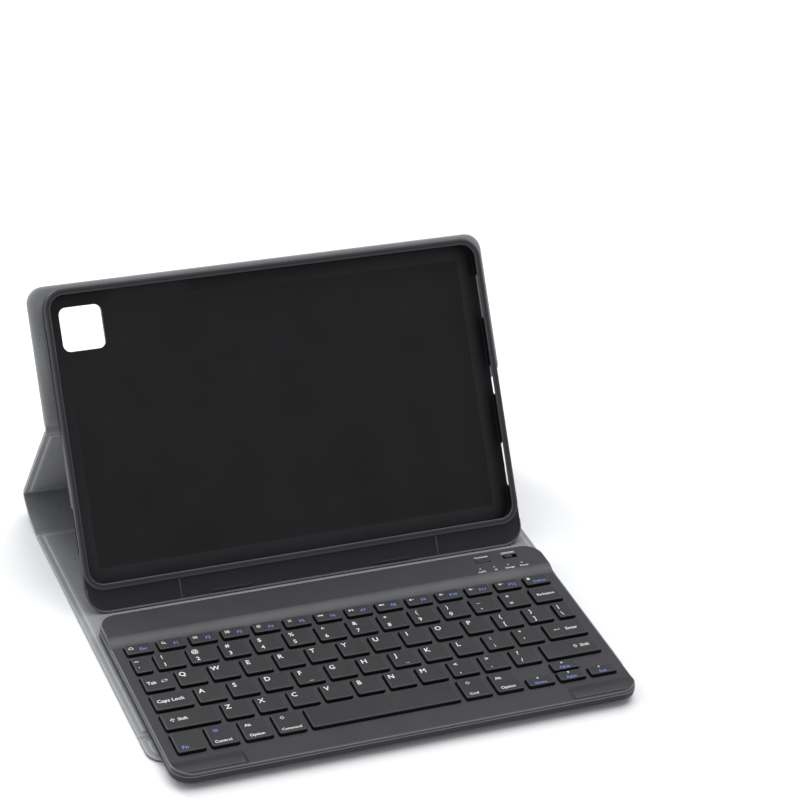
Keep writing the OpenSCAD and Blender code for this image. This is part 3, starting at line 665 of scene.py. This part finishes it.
RIB_U, RIB_W, RIB_V = 72.0, 0.7, (0.9, 11.8)
PAD_U, PAD_W, PAD_V = 44.5, 22.0, (1.5, 3.4)


def chin_ribs():
    """Thin upright ribs that part the chin in three."""
    steps = [(0, 9.3, 0.6), (0, 9.6, 1), (0.12, 9.72, 1)]
    return joined([stepped(lambda i: rr(RIB_W, *RIB_V, 0.3, 0.3, i, 3, u), TRAY.at, steps)
                   for u in (-RIB_U, RIB_U)])


piece("chin_ribs", chin_ribs(), TRAY_BLACK, "tray_plastic", "tray")


def chin_pads():
    """Two soft pads at the foot of the chin, where it rests on the cover."""
    steps = [(0, 9.4, 0), (0, 9.55, 0.1), (0.25, 9.66, 0.35), (0.7, 9.7, 0.1)]
    return joined([stepped(lambda i: rr(PAD_W, *PAD_V, 0.9, 0.9, i, 5, u), TRAY.at, steps)
                   for u in (-PAD_U, PAD_U)])


piece("chin_pads", chin_pads(), TRAY_BLACK, "tray_plastic", "tray")

# ---------- keyboard shells ----------

KB_R = 10.0
GAP = 0.4
# Heights above the underside: top of the side wall, key deck and raised rear zone
SIDE_Z = 4.2
DECK_Z = 5.6
REAR_Z = 7.8
# The slope up to the rear zone: where it starts and how long it is
SLOPE_Y = 103.7
SLOPE_LONG = 7.4
DECK_ROUND = 1.0
BUMPER_U, BUMPER_H = 85.2, 0.9
HOLE_Z = (2, 12)
KEY_GAP = 0.35
SCREWS = [(-115, 10), (115, 10), (-115, KB_D - 10), (70, KB_D - 10)]
PORT_Y, PORT_Z, PORT_W, PORT_H = 114.9, 3.8, 9.6, 3.2
CONTROL_Y = KB_D - 8.1
BUTTON_X, SWITCH_X = 88.5, 104.0
LAMPS = (84, 92, 100, 108)
LAMP_Y = CONTROL_Y - 6.6


def port_outline(w, h):
    r = h / 2 - 0.05
    return [(PORT_Y + a, PORT_Z + b) for a, b in rr(w, -h / 2, h / 2, r, r, 0, 6)]


def port_tool():
    depths = (KB_W / 2 - 3, KB_W / 2 + 3)
    return prism(port_outline(PORT_W, PORT_H), lambda a, b, d: KB.at(d, a, b), depths)


def kb_ring(inset, z):
    return ring(KB, rr(KB_W, 0, KB_D, KB_R, KB_R, inset, 12), z)


def lower_shell():
    """Open tray of the keyboard with a rounded foot, on (inset, height, lightening) steps; the lightening
    marks rubbed edges and painted highlights.
    """
    steps = [(3, 0, 0), (1.5, 0.02, 0), (0.6, 0.25, 0), (0.12, 0.8, 0), (0, 1.5, 0), (0, 3.75, 0),
             (0.08, 4.05, 0.9), (0.28, SIDE_Z, 1), (1.2, SIDE_Z, 0.2), (1.2, 1.25, 0), (2, 1.2, 0)]
    bm = loft([kb_ring(i, z) for i, z, _ in steps], [w for _, _, w in steps])
    tools = [prism(disc(x, y, 2.2), KB.at, (-1, 0.75)) for x, y in SCREWS]
    return cut(bm, [*tools, port_tool()])


piece("keyboard_base", lower_shell(), SHELL, "shell_plastic", "keyboard", ["bottom_shell"])


def deck_height(x, y):
    """Height of the deck: level round the keys, up the slope, and over the two front bumpers."""
    z = DECK_Z + (REAR_Z - DECK_Z) * smooth((y - SLOPE_Y) / SLOPE_LONG)
    rise = smooth((y - 0.2) / 2.0) * (1 - smooth((y - 5) / 7))
    return z + BUMPER_H * rise * smooth((abs(x) - BUMPER_U) / 2.0)


def boxes(node):
    """Boxes of a node's separate solids, in the keyboard's frame, from left to right."""
    bm = bmesh.new()
    bm.from_mesh(NODES[node].data)
    bmesh.ops.remove_doubles(bm, verts=bm.verts, dist=1e-6)
    left, out = set(bm.verts), []
    while left:
        stack = [left.pop()]
        group = list(stack)
        while stack:
            for e in stack.pop().link_edges:
                for v in e.verts:
                    if v in left:
                        left.discard(v)
                        stack.append(v)
                        group.append(v)
        co = [v.co / MM for v in group]
        out.append([min(c.x for c in co), min(c.y for c in co) - KB.y,
                    max(c.x for c in co), max(c.y for c in co) - KB.y])
    bm.free()
    return sorted(out)


KEY_NODES = [n for n in NODES if n.endswith(("_key", "_keys")) or n == "space_bar"]
KEYS = {n: boxes(n) for n in KEY_NODES}


def deck():
    """Upper shell: rounded edges, a slope up to the rear zone and an opening for each key."""
    base = rr(KB_W, 0, KB_D, KB_R, KB_R, GAP, 12)
    inner = rr(KB_W, 0, KB_D, KB_R, KB_R, GAP + 1, 12)
    bm = bmesh.new()
    wear = bm.verts.layers.float.new("wear")
    drop = bm.verts.layers.float.new("drop")
    low = bm.verts.layers.float.new("low")
    # Rings round the deck's rounded rim by angle; tone paints a highlight along the rim, lightest half way
    # round.
    turn = [0, 0, 15, 30, 45, 60, 75, 90]
    tone = [0.1, 0.1, 0.2, 0.6, 1, 0.5, 0.05, 0]
    rows = []
    for k, a in enumerate(turn):
        row = []
        for (x, y), (xi, yi) in zip(base, inner):
            i = DECK_ROUND * (1 - math.cos(math.radians(a)))
            d = DECK_ROUND * (1 - math.sin(math.radians(a)))
            v = bm.verts.new(KB.at(x + (xi - x) * i, y + (yi - y) * i, DECK_Z))
            # Painted shade: the rim's highlight fades out towards the rear, which lies in the chin's shade.
            chin_shade = smooth((y - KB_D + 6) / 5)
            v[wear] = tone[k] * (1 - 0.9 * chin_shade)
            v[drop] = d
            v[low] = 1.0 if k == 0 else 0.0
            row.append(v)
        rows.append(row)
    for a, b in zip(rows, rows[1:]):
        for i in range(len(a)):
            j = (i + 1) % len(a)
            bm.faces.new((a[i], a[j], b[j], b[i]))
    bm.faces.new(rows[-1])
    stations = [0.9, 1.5, 2.2, 3.2, 5, 6, 7, 8, 9, 10, 11, 12]
    stations += [SLOPE_Y + SLOPE_LONG * i / 10 for i in range(11)]
    splits = [(KB.at(0, y, 0), (0, 1, 0)) for y in stations]
    splits += [(KB.at(side * (BUMPER_U + off), 0, 0), (1, 0, 0))
               for off in (0, 0.4, 0.7, 1.0, 1.3, 1.6, 2.0) for side in (-1, 1)]
    for co, no in splits:
        bmesh.ops.bisect_plane(bm, geom=bm.verts[:] + bm.edges[:] + bm.faces[:], plane_co=co, plane_no=no)
    for v in bm.verts:
        x, y = v.co.x / MM, v.co.y / MM - KB.y
        z = SIDE_Z + 0.05 if v[low] > 0.5 else max(deck_height(x, y) - v[drop], SIDE_Z + 0.1)
        v.co.z = (KB.z + z) * MM
        # Painted highlight: the middle of the slope gets a lighter colour, standing in for the band of light
        # the overhead lamp lays on it.
        across = (y - SLOPE_Y) / SLOPE_LONG
        if 0 < across < 1 and v[drop] < 0.2:
            v[wear] = 0.38 * math.sin(math.pi * across) ** 2
    rim = [e for e in bm.edges if len(e.link_faces) == 1]
    bmesh.ops.holes_fill(bm, edges=rim)
    bmesh.ops.recalc_face_normals(bm, faces=bm.faces)
    outlines = [rr(x1 - x0 + 2 * KEY_GAP, y0 - KEY_GAP, y1 + KEY_GAP, 1.5, 1.5, 0, 4, (x0 + x1) / 2)
                for group in KEYS.values() for x0, y0, x1, y1 in group]
    outlines.append(rr(8, CONTROL_Y - 1.5, CONTROL_Y + 1.5, 0.6, 0.6, 0, 4, SWITCH_X))
    outlines.append(rr(8.5, CONTROL_Y - 1.65, CONTROL_Y + 1.65, 0.8, 0.8, 0, 4, BUTTON_X))
    outlines += [disc(x, LAMP_Y, 0.75, 16) for x in LAMPS]
    holes = [prism(outline, KB.at, HOLE_Z) for outline in outlines]
    return cut(bm, [joined([*holes, port_tool()])])


piece("keyboard_deck", deck(), SHELL, "shell_plastic", "keyboard", ["top_deck"])

# ---------- keys ----------

KEY_TOP = DECK_Z + 1.7
# Cap profile as (inset, height, lightening) steps. The lightening is painted light: the top is lighter than
# the dark sides, and its rounded edge carries a painted highlight.
CAP = [(1.1, 6.2, 0), (0.9, 6.2, 0), (0.9, 4.15, 0), (0, 4.15, 0), (0, 5.4, 0), (0.18, 6.75, 0),
       (0.28, 7.0, 0.1), (0.45, 7.2, 1), (0.7, 7.28, 0.7), (1.0, KEY_TOP, 0.22), (1.5, KEY_TOP, 0.2)]


def cap(b):
    """Hollow key cap over a box, from its ceiling down the inside and up the outside."""
    x0, y0, x1, y1 = b
    return stepped(lambda i: rr(x1 - x0, y0, y1, 1.2, 1.2, i, 4, (x0 + x1) / 2), KB.at, CAP)


for node, rows in KEYS.items():
    piece("cap_" + node, joined([cap(b) for b in rows]), KEY, "key_plastic", node + "_body", [node])

# ---------- printing ----------


def glyphs(text, height):
    """A word as a thin mesh whose capitals are that high, centred on the origin."""
    curve = bpy.data.curves.new("word", "FONT")
    curve.body, curve.size, curve.align_x, curve.resolution_u = text, 1.0, "CENTER", 2
    curve.offset = 0.012
    o = bpy.data.objects.new("word", curve)
    bpy.context.scene.collection.objects.link(o)
    bpy.context.view_layer.update()
    me = bpy.data.meshes.new_from_object(o.evaluated_get(bpy.context.evaluated_depsgraph_get()))
    bm = bmesh.new()
    bm.from_mesh(me)
    bpy.data.objects.remove(o)
    bpy.data.curves.remove(curve)
    bpy.data.meshes.remove(me)
    scale = height / 0.7
    for v in bm.verts:
        v.co = v.co * scale
    return bm


def flat(points):
    bm = bmesh.new()
    bm.faces.new([bm.verts.new((x, y, 0)) for x, y in points])
    return bm


def bar(x0, y0, x1, y1):
    return flat([(x0, y0), (x1, y0), (x1, y1), (x0, y1)])


def tri(x, y, w, h):
    """Triangle with its point at x + w."""
    return flat([(x, y - h / 2), (x + w, y), (x, y + h / 2)][:: 1 if w > 0 else -1])


def hoop(x, y, r, t=0.28, count=20):
    bm = bmesh.new()
    a = [bm.verts.new((px, py, 0)) for px, py in disc(x, y, r, count)]
    b = [bm.verts.new((px, py, 0)) for px, py in disc(x, y, r - t, count)]
    for i in range(count):
        j = (i + 1) % count
        bm.faces.new((a[i], a[j], b[j], b[i]))
    return bm


def frame_shape(points, t):
    """Outline of a closed figure with an even line."""
    bm = bmesh.new()
    cx = sum(p[0] for p in points) / len(points)
    cy = sum(p[1] for p in points) / len(points)
    a = [bm.verts.new((x, y, 0)) for x, y in points]
    b = [bm.verts.new((cx + (x - cx) * t, cy + (y - cy) * t, 0)) for x, y in points]
    for i in range(len(a)):
        j = (i + 1) % len(a)
        bm.faces.new((a[i], a[j], b[j], b[i]))
    return bm


def home():
    return [frame_shape([(-1.1, -0.9), (1.1, -0.9), (1.1, 0.2), (0, 1.1), (-1.1, 0.2)], 0.7)]


def find():
    return [hoop(-0.2, 0.2, 0.85), flat([(0.3, -0.4), (0.5, -0.2), (1.2, -0.9), (1.0, -1.1)])]


def menu():
    return [bar(-1.0, k - 0.13, 1.0, k + 0.13) for k in (-0.7, 0, 0.7)] + [bar(-1.3, -0.83, -1.15, 0.83)]


def window():
    outline = [(-1.1, -0.9), (1.1, -0.9), (1.1, 0.9), (-1.1, 0.9)]
    return [frame_shape(outline, 0.72), bar(-0.3, -0.3, 0.5, 0.3)]


def globe():
    return [hoop(0, 0, 1.0), bar(-0.9, -0.1, 0.9, 0.1), bar(-0.1, -0.9, 0.1, 0.9)]


def cross():
    return [flat([(-1, -0.8), (-0.75, -1), (1, 0.8), (0.75, 1)]),
            flat([(-1, 0.8), (0.75, -1), (1, -0.8), (-0.75, 1)])]


def back_track():
    return [tri(0.1, 0, -1.1, 1.4), tri(1.2, 0, -1.1, 1.4), bar(-1.3, -0.7, -1.05, 0.7)]


def play():
    return [tri(-1.2, 0, 1.3, 1.5), bar(0.35, -0.75, 0.6, 0.75), bar(0.9, -0.75, 1.15, 0.75)]


def next_track():
    return [tri(-1.2, 0, 1.1, 1.4), tri(-0.1, 0, 1.1, 1.4), bar(1.05, -0.7, 1.3, 0.7)]


def speaker():
    return [flat([(-1.2, -0.35), (-0.8, -0.35), (-0.2, -0.85), (-0.2, 0.85), (-0.8, 0.35), (-1.2, 0.35)])]


def quieter():
    return speaker() + [bar(0.2, -0.12, 1.1, 0.12)]


def louder():
    return quieter() + [bar(0.53, -0.45, 0.77, 0.45)]


def sun():
    return [hoop(-0.3, 0, 0.55, 0.5)] + [bar(-0.3 + a - 0.1, b - 0.1, -0.3 + a + 0.1, b + 0.1)
                                         for a, b in disc(0, 0, 0.95, 8)]


def dimmer():
    return sun() + [bar(0.85, -0.1, 1.45, 0.1)]


def brighter():
    return dimmer() + [bar(1.05, -0.3, 1.25, 0.3)]


def lock():
    shackle = [(-0.55, 0.2), (0.55, 0.2), (0.55, 1.0), (-0.55, 1.0)]
    return [bar(-0.8, -0.9, 0.8, 0.2), frame_shape(shackle, 0.6)]


def diamond():
    return [frame_shape([(0, -1.2), (1.2, 0), (0, 1.2), (-1.2, 0)], 0.7)]


def up_arrow():
    outline = [(-0.5, -0.9), (0.5, -0.9), (0.5, 0.1), (1.2, 0.1), (0, 1.2), (-1.2, 0.1), (-0.5, 0.1)]
    return [frame_shape(outline, 0.66)]


def tab_arrows():
    return [bar(-1.6, 0.5, 1, 0.7), tri(1, 0.6, 0.9, 1), bar(-1, -0.7, 1.6, -0.5), tri(-1, -0.6, -0.9, 1)]


def return_arrow():
    return [bar(-1.2, -0.12, 1.5, 0.12), bar(1.26, 0, 1.5, 0.9), tri(-1.2, 0, -0.9, 1.1)]


def pointer(dx, dy):
    return lambda: [flat([(dx * 0.8, dy * 0.8), (-dx * 0.6 - dy * 0.7, -dy * 0.6 + dx * 0.7),
                          (-dx * 0.6 + dy * 0.7, -dy * 0.6 - dx * 0.7)])]


INKS = {"w": (WHITE_INK, "white"), "b": (BLUE_INK, "blue")}
LIFT = 0.02


def printing(name, body, marks, top, slot):
    """Marks are (ink, word or figure, x, y, height); each ink becomes one piece on the body."""
    for ink, (material, label) in INKS.items():
        parts = []
        for kind, what, x, y, size in marks:
            if kind != ink:
                continue
            found = [glyphs(what, size)] if isinstance(what, str) else what()
            for bm in found:
                scale = 1 if isinstance(what, str) else size
                for v in bm.verts:
                    v.co = KB.at(v.co.x * scale + x, v.co.y * scale + y, top)
                parts.append(bm)
        if not parts:
            continue
        bm = joined(parts)
        for f in bm.faces:
            if f.normal.z < 0:
                f.normal_flip()
        base = bmesh.ops.extrude_face_region(bm, geom=bm.faces[:])
        for v in base["geom"]:
            if isinstance(v, bmesh.types.BMVert):
                v.co.z += LIFT * MM
        bmesh.ops.recalc_face_normals(bm, faces=bm.faces)
        piece(f"print_{label}_{name}", bm, material, slot, body, sharp=20, weigh=False)


def spot(b, fx, fy):
    """A point of a key's top, as shares of its width and depth."""
    return b[0] + (b[2] - b[0]) * fx, b[1] + (b[3] - b[1]) * fy


def stack(b, upper, lower):
    return [("w", upper, *spot(b, 0.29, 0.62), 2.7), ("w", lower, *spot(b, 0.29, 0.16), 2.7)]


def letter(b, text):
    return [("w", text, *spot(b, 0.24, 0.58), 3.1)]


marks = {n: [] for n in KEYS}
figures = [find, menu, window, globe, cross, back_track, play, next_track, quieter, louder, dimmer,
           brighter]
for i, (b, figure) in enumerate(zip(KEYS["function_keys"], figures)):
    marks["function_keys"] += [("w", figure, *spot(b, 0.24, 0.6), 1.05),
                               ("b", f"F{i + 1}", *spot(b, 0.68, 0.28), 2.1)]
b = KEYS["esc_key"][0]
marks["esc_key"] += [("w", home, *spot(b, 0.22, 0.6), 1.05), ("b", "Esc", *spot(b, 0.66, 0.28), 2.1)]
b = KEYS["delete_key"][0]
marks["delete_key"] += [("w", lock, *spot(b, 0.2, 0.66), 0.95), ("b", "Delete", *spot(b, 0.58, 0.2), 1.9)]
marks["grave_key"] += stack(KEYS["grave_key"][0], "~", "`")
for b, upper, lower in zip(KEYS["number_keys"], "!@#$%^&*()_+", "1234567890-="):
    marks["number_keys"] += stack(b, upper, lower)
marks["backspace_key"] += [("w", "Backspace", *spot(KEYS["backspace_key"][0], 0.5, 0.42), 1.7)]
b = KEYS["tab_key"][0]
marks["tab_key"] += [("w", "Tab", *spot(b, 0.3, 0.4), 2.2), ("w", tab_arrows, *spot(b, 0.75, 0.5), 0.95)]
tops = KEYS["top_letter_keys"]
for b, text in zip(tops, "QWERTYUIOP"):
    marks["top_letter_keys"] += letter(b, text)
for b, pair in zip(tops[10:], ("{[", "}]")):
    marks["top_letter_keys"] += stack(b, *pair)
marks["backslash_key"] += stack(KEYS["backslash_key"][0], "|", "\\")
marks["caps_key"] += [("w", "Caps Lock", *spot(KEYS["caps_key"][0], 0.47, 0.42), 2.3)]
homes = KEYS["home_letter_keys"]
for b, text in zip(homes, "ASDFGHJKL"):
    marks["home_letter_keys"] += letter(b, text)
for b, pair in zip(homes[9:], (":;", "\"'")):
    marks["home_letter_keys"] += stack(b, *pair)
for b in (homes[3], homes[6]):
    x, y = spot(b, 0.5, 0.14)
    marks["home_letter_keys"] += [("w", lambda: [bar(-1.1, -0.09, 1.1, 0.09)], x, y, 1.0)]
b = KEYS["enter_key"][0]
marks["enter_key"] += [("w", return_arrow, *spot(b, 0.3, 0.5), 0.9),
                       ("w", "Enter", *spot(b, 0.66, 0.4), 2.1)]
bottoms = KEYS["bottom_letter_keys"]
for b, text in zip(bottoms, "ZXCVBNM"):
    marks["bottom_letter_keys"] += letter(b, text)
for b, pair in zip(bottoms[7:], ("<,", ">.", "?/")):
    marks["bottom_letter_keys"] += stack(b, *pair)
for node, fx in (("left_shift_key", 0.18), ("right_shift_key", 0.6)):
    b = KEYS[node][0]
    x, y = spot(b, fx, 0.5)
    marks[node] += [("w", up_arrow, x, y, 1.1), ("w", "Shift", x + 5.2, y - 0.9, 2.0)]
b = KEYS["fn_key"][0]
marks["fn_key"] += [("b", "Fn", *spot(b, 0.32, 0.14), 2.5)]
b = KEYS["control_key"][0]
marks["control_key"] += [("w", "Control", *spot(b, 0.46, 0.14), 1.9),
                         ("b", window, *spot(b, 0.36, 0.72), 1.0)]
for node in ("left_alt_key", "right_alt_key"):
    b = KEYS[node][0]
    marks[node] += [("w", "Alt", *spot(b, 0.3, 0.64), 1.9), ("w", "Option", *spot(b, 0.46, 0.14), 1.9)]
for node, word, fx in (("left_command_key", "Command", 0.5), ("right_command_key", "Cmd", 0.36)):
    b = KEYS[node][0]
    marks[node] += [("w", diamond, *spot(b, 0.36, 0.74), 1.0), ("w", word, *spot(b, fx, 0.14), 1.7)]
for node, word, dx, dy in (("left_arrow_key", "Home", -1, 0), ("up_arrow_key", "PgUp", 0, 1),
                           ("down_arrow_key", "PgDn", 0, -1), ("right_arrow_key", "End", 1, 0)):
    b = KEYS[node][0]
    marks[node] += [("w", pointer(dx, dy), *spot(b, 0.45, 0.76), 0.9),
                    ("b", word, *spot(b, 0.48, 0.14), 1.8)]
for node, found in marks.items():
    if found:
        printing(node, node + "_body", found, KEY_TOP, "key_plastic")
ABOVE, BELOW = CONTROL_Y + 2.6, LAMP_Y - 3.3
deck_marks = [("w", "Connect", BUTTON_X, ABOVE, 1.5), ("w", "OFF/ON", SWITCH_X, ABOVE, 1.5),
              ("w", "CAPS", LAMPS[0], BELOW, 1.3), ("w", window, LAMPS[1], BELOW + 0.6, 0.6),
              ("w", "Charge", LAMPS[2], BELOW, 1.3), ("w", "Power", LAMPS[3] + 0.3, BELOW, 1.3)]
printing("deck", "keyboard", deck_marks, REAR_Z, "shell_plastic")

# ---------- controls, port, feet and screws ----------


def switch():
    lo, hi = box("power_switch")
    x = (lo.x + hi.x) / 2
    foot = [ring(KB, rr(6.4, CONTROL_Y - 2.4, CONTROL_Y + 2.4, 0.5, 0.5, i, 3, x), z)
            for i, z in ((0.1, 5.4), (0, 5.5), (0, 6.0), (0.1, 6.1))]
    knob = [ring(KB, rr(4, CONTROL_Y - 1.2, CONTROL_Y + 1.2, 0.5, 0.5, i, 4, x), z)
            for i, z in ((0, 6.0), (0, 8.1), (0.12, 8.3), (0.4, 8.4))]
    parts = [loft(foot), loft(knob, [0, 0.2, 1, 0.2])]
    for k in (-1, 0, 1):
        rib = [ring(KB, rr(0.35, CONTROL_Y - 0.9, CONTROL_Y + 0.9, 0.15, 0.15, i, 2, x + k), z)
               for i, z in ((0, 8.3), (0, 8.5), (0.08, 8.56))]
        parts.append(loft(rib, [0, 1, 1]))
    return joined(parts)


piece("slide_switch", switch(), KEY, "key_plastic", "switch_knob", ["power_switch"])


BUTTON_W, BUTTON_D = 8.0, 2.8


def button_outline(inset):
    """The button's outline, or its flange's where the inset is below 0."""
    grow, half = max(-inset, 0), BUTTON_D / 2
    w, v0, v1 = BUTTON_W + 2 * grow, CONTROL_Y - half - grow, CONTROL_Y + half + grow
    return rr(w, v0, v1, 0.7, 0.7, max(inset, 0), 4, BUTTON_X)


def button():
    """Connect button with a flange below the deck."""
    steps = ((-1, 5.5, 0), (-1, 6.1, 0), (0, 6.1, 0), (0, 7.95, 0.2), (0.15, 8.12, 1), (0.5, 8.2, 0.2))
    return stepped(button_outline, KB.at, steps)


piece("connect_cap_button", button(), KEY, "key_plastic", "connect_cap", ["connect_button"])


def turned(x, y, steps, count):
    """Round piece that stands at a place on the keyboard, on (radius, height, lightening) steps; the
    lightening marks rubbed edges and painted highlights.
    """
    return stepped(lambda r: disc(x, y, r, count), KB.at, steps)


def lenses():
    steps = [(0.68, 5.4, 0), (0.68, REAR_Z - 0.15, 0), (0.6, REAR_Z - 0.02, 0), (0.3, REAR_Z + 0.02, 0)]
    return joined([turned(x, LAMP_Y, steps, 20) for x in LAMPS])


piece("lamp_lens", lenses(), LENS, "lens", "keyboard", ["lamp_lenses"])


def port():
    """Steel sleeve, open to the right, and the tongue inside it, on (width, height, x) steps."""
    x0, x1 = KB_W / 2 - 7.5, KB_W / 2 - 0.5
    sleeve = ((9, 2.6, x0), (9, 2.6, x1 - 0.1), (8.8, 2.4, x1), (8.4, 2.0, x1), (8.4, 2.0, x0 + 0.6))
    tongue = ((6.6, 0.7, x0 + 0.5), (6.6, 0.7, x1 - 1), (6.2, 0.4, x1 - 0.8))
    return joined([loft([[KB.at(x, a, b) for a, b in port_outline(w, h)] for w, h, x in steps])
                   for steps in (sleeve, tongue)])


piece("port_sleeve", port(), STEEL, "steel", "keyboard", ["charging_port"])


FEET = [(x, y) for x in (-103, 103) for y in (30, KB_D - 26)]


def feet():
    steps = [(3.4, 0.02, 0), (3.5, -0.1, 0), (3.4, -0.3, 1), (3.1, -0.39, 1), (2.2, -0.4, 0), (2.0, -0.3, 0)]
    return joined([turned(x, y, steps, 32) for x, y in FEET])


piece("keyboard_feet", feet(), RUBBER, "foot_rubber", "keyboard", ["rubber_feet"])


CROSS = ((2.2, 0.5), (0.5, 2.2))


def screws():
    """Screw heads with a cross cut in each."""
    steps = [(1.3, 1.2, 0), (1.95, 1.15, 0), (1.95, 0.55, 0), (1.75, 0.35, 0), (1.2, 0.3, 0)]
    parts = []
    for x, y in SCREWS:
        slots = [prism(rr(w, y - d / 2, y + d / 2, 0.1, 0.1, 0, 2, x), KB.at, (-0.5, 0.75)) for w, d in CROSS]
        parts.append(cut(turned(x, y, steps, 28), slots))
    return joined(parts)


piece("shell_screws", screws(), STEEL, "steel", "keyboard", ["case_screws"])

# ---------- CAD pieces that stay ----------

KEPT = [
    (BOARD, ("front_board", "edge_board", "flap_board", "prop_board", "back_board")),
    (MAGNET, ("flap_magnets", "chin_magnets", "keyboard_magnets")),
    (STEEL, ("steel_plates", "key_plate")),
    (DOME, ("dome_sheet",)),
    (CIRCUIT, ("circuit_board",)),
    (FOIL, ("battery",)),
]
for material, nodes in KEPT:
    for node in nodes:
        NODES[node].data.materials.clear()
        NODES[node].data.materials.append(material)

# ---------- floor, light and camera ----------


FLOOR_SIZE, FLOOR_Z = 40.0, -0.0002


def floor():
    """Pale paper floor, a hair below the cover."""
    bm = bmesh.new()
    bmesh.ops.create_grid(bm, x_segments=60, y_segments=60, size=FLOOR_SIZE)
    for v in bm.verts:
        v.co.z = FLOOR_Z
    o = loose(bm, "floor")
    m = Mat("floor_paper", 0.75, Specular_IOR_Level=0.25)
    m.colour(m.ramp(m.noise(3, 2), [(0.3, (0.86, 0.86, 0.865)), (0.7, (0.9, 0.9, 0.905))]))
    o.data.materials.append(m.m)


def area_light(name, place, size, power, aim=(0, 0, 0.04)):
    data = bpy.data.lights.new(name, "AREA")
    data.shape, data.size, data.energy = "DISK", size, power
    o = bpy.data.objects.new(name, data)
    o.location = place
    o.rotation_euler = (Vector(aim) - Vector(place)).to_track_quat("-Z", "Y").to_euler()
    bpy.context.scene.collection.objects.link(o)


def sun_light(name, towards, angle, strength):
    data = bpy.data.lights.new(name, "SUN")
    data.angle, data.energy = math.radians(angle), strength
    o = bpy.data.objects.new(name, data)
    o.rotation_euler = Vector(towards).to_track_quat("Z", "Y").to_euler()
    bpy.context.scene.collection.objects.link(o)


def studio():
    """Pale surroundings."""
    world = bpy.data.worlds.new("studio")
    bpy.context.scene.world = world
    world.use_nodes = True
    background = world.node_tree.nodes["Background"]
    background.inputs["Color"].default_value = (0.96, 0.975, 1.0, 1)
    background.inputs["Strength"].default_value = 0.5


def camera(place, right, up, lens):
    """Camera from its place, its right and upward directions and its lens."""
    data = bpy.data.cameras.new("camera")
    data.lens, data.sensor_width = lens, 36
    o = bpy.data.objects.new("camera", data)
    o.location = place
    right, up = Vector(right), Vector(up)
    o.rotation_euler = Matrix((right, up, right.cross(up))).transposed().to_euler()
    bpy.context.scene.collection.objects.link(o)
    bpy.context.scene.camera = o


floor()
studio()
sun_light("overhead_light", (0.25, 0.3, 0.92), 55, 2.1)
sun_light("left_light", (-0.75, 0.1, 0.65), 50, 0.5)
area_light("back_sheen", (-0.38, 0.85, 0.5), 0.4, 4)
camera((-0.48162, -1.09647, 0.86517), (0.922598, -0.377028, 0.081623),
       (0.135016, 0.513801, 0.847219), 127.2)
bpy.context.scene.view_settings.view_transform = "Standard"

bpy.context.view_layer.update()
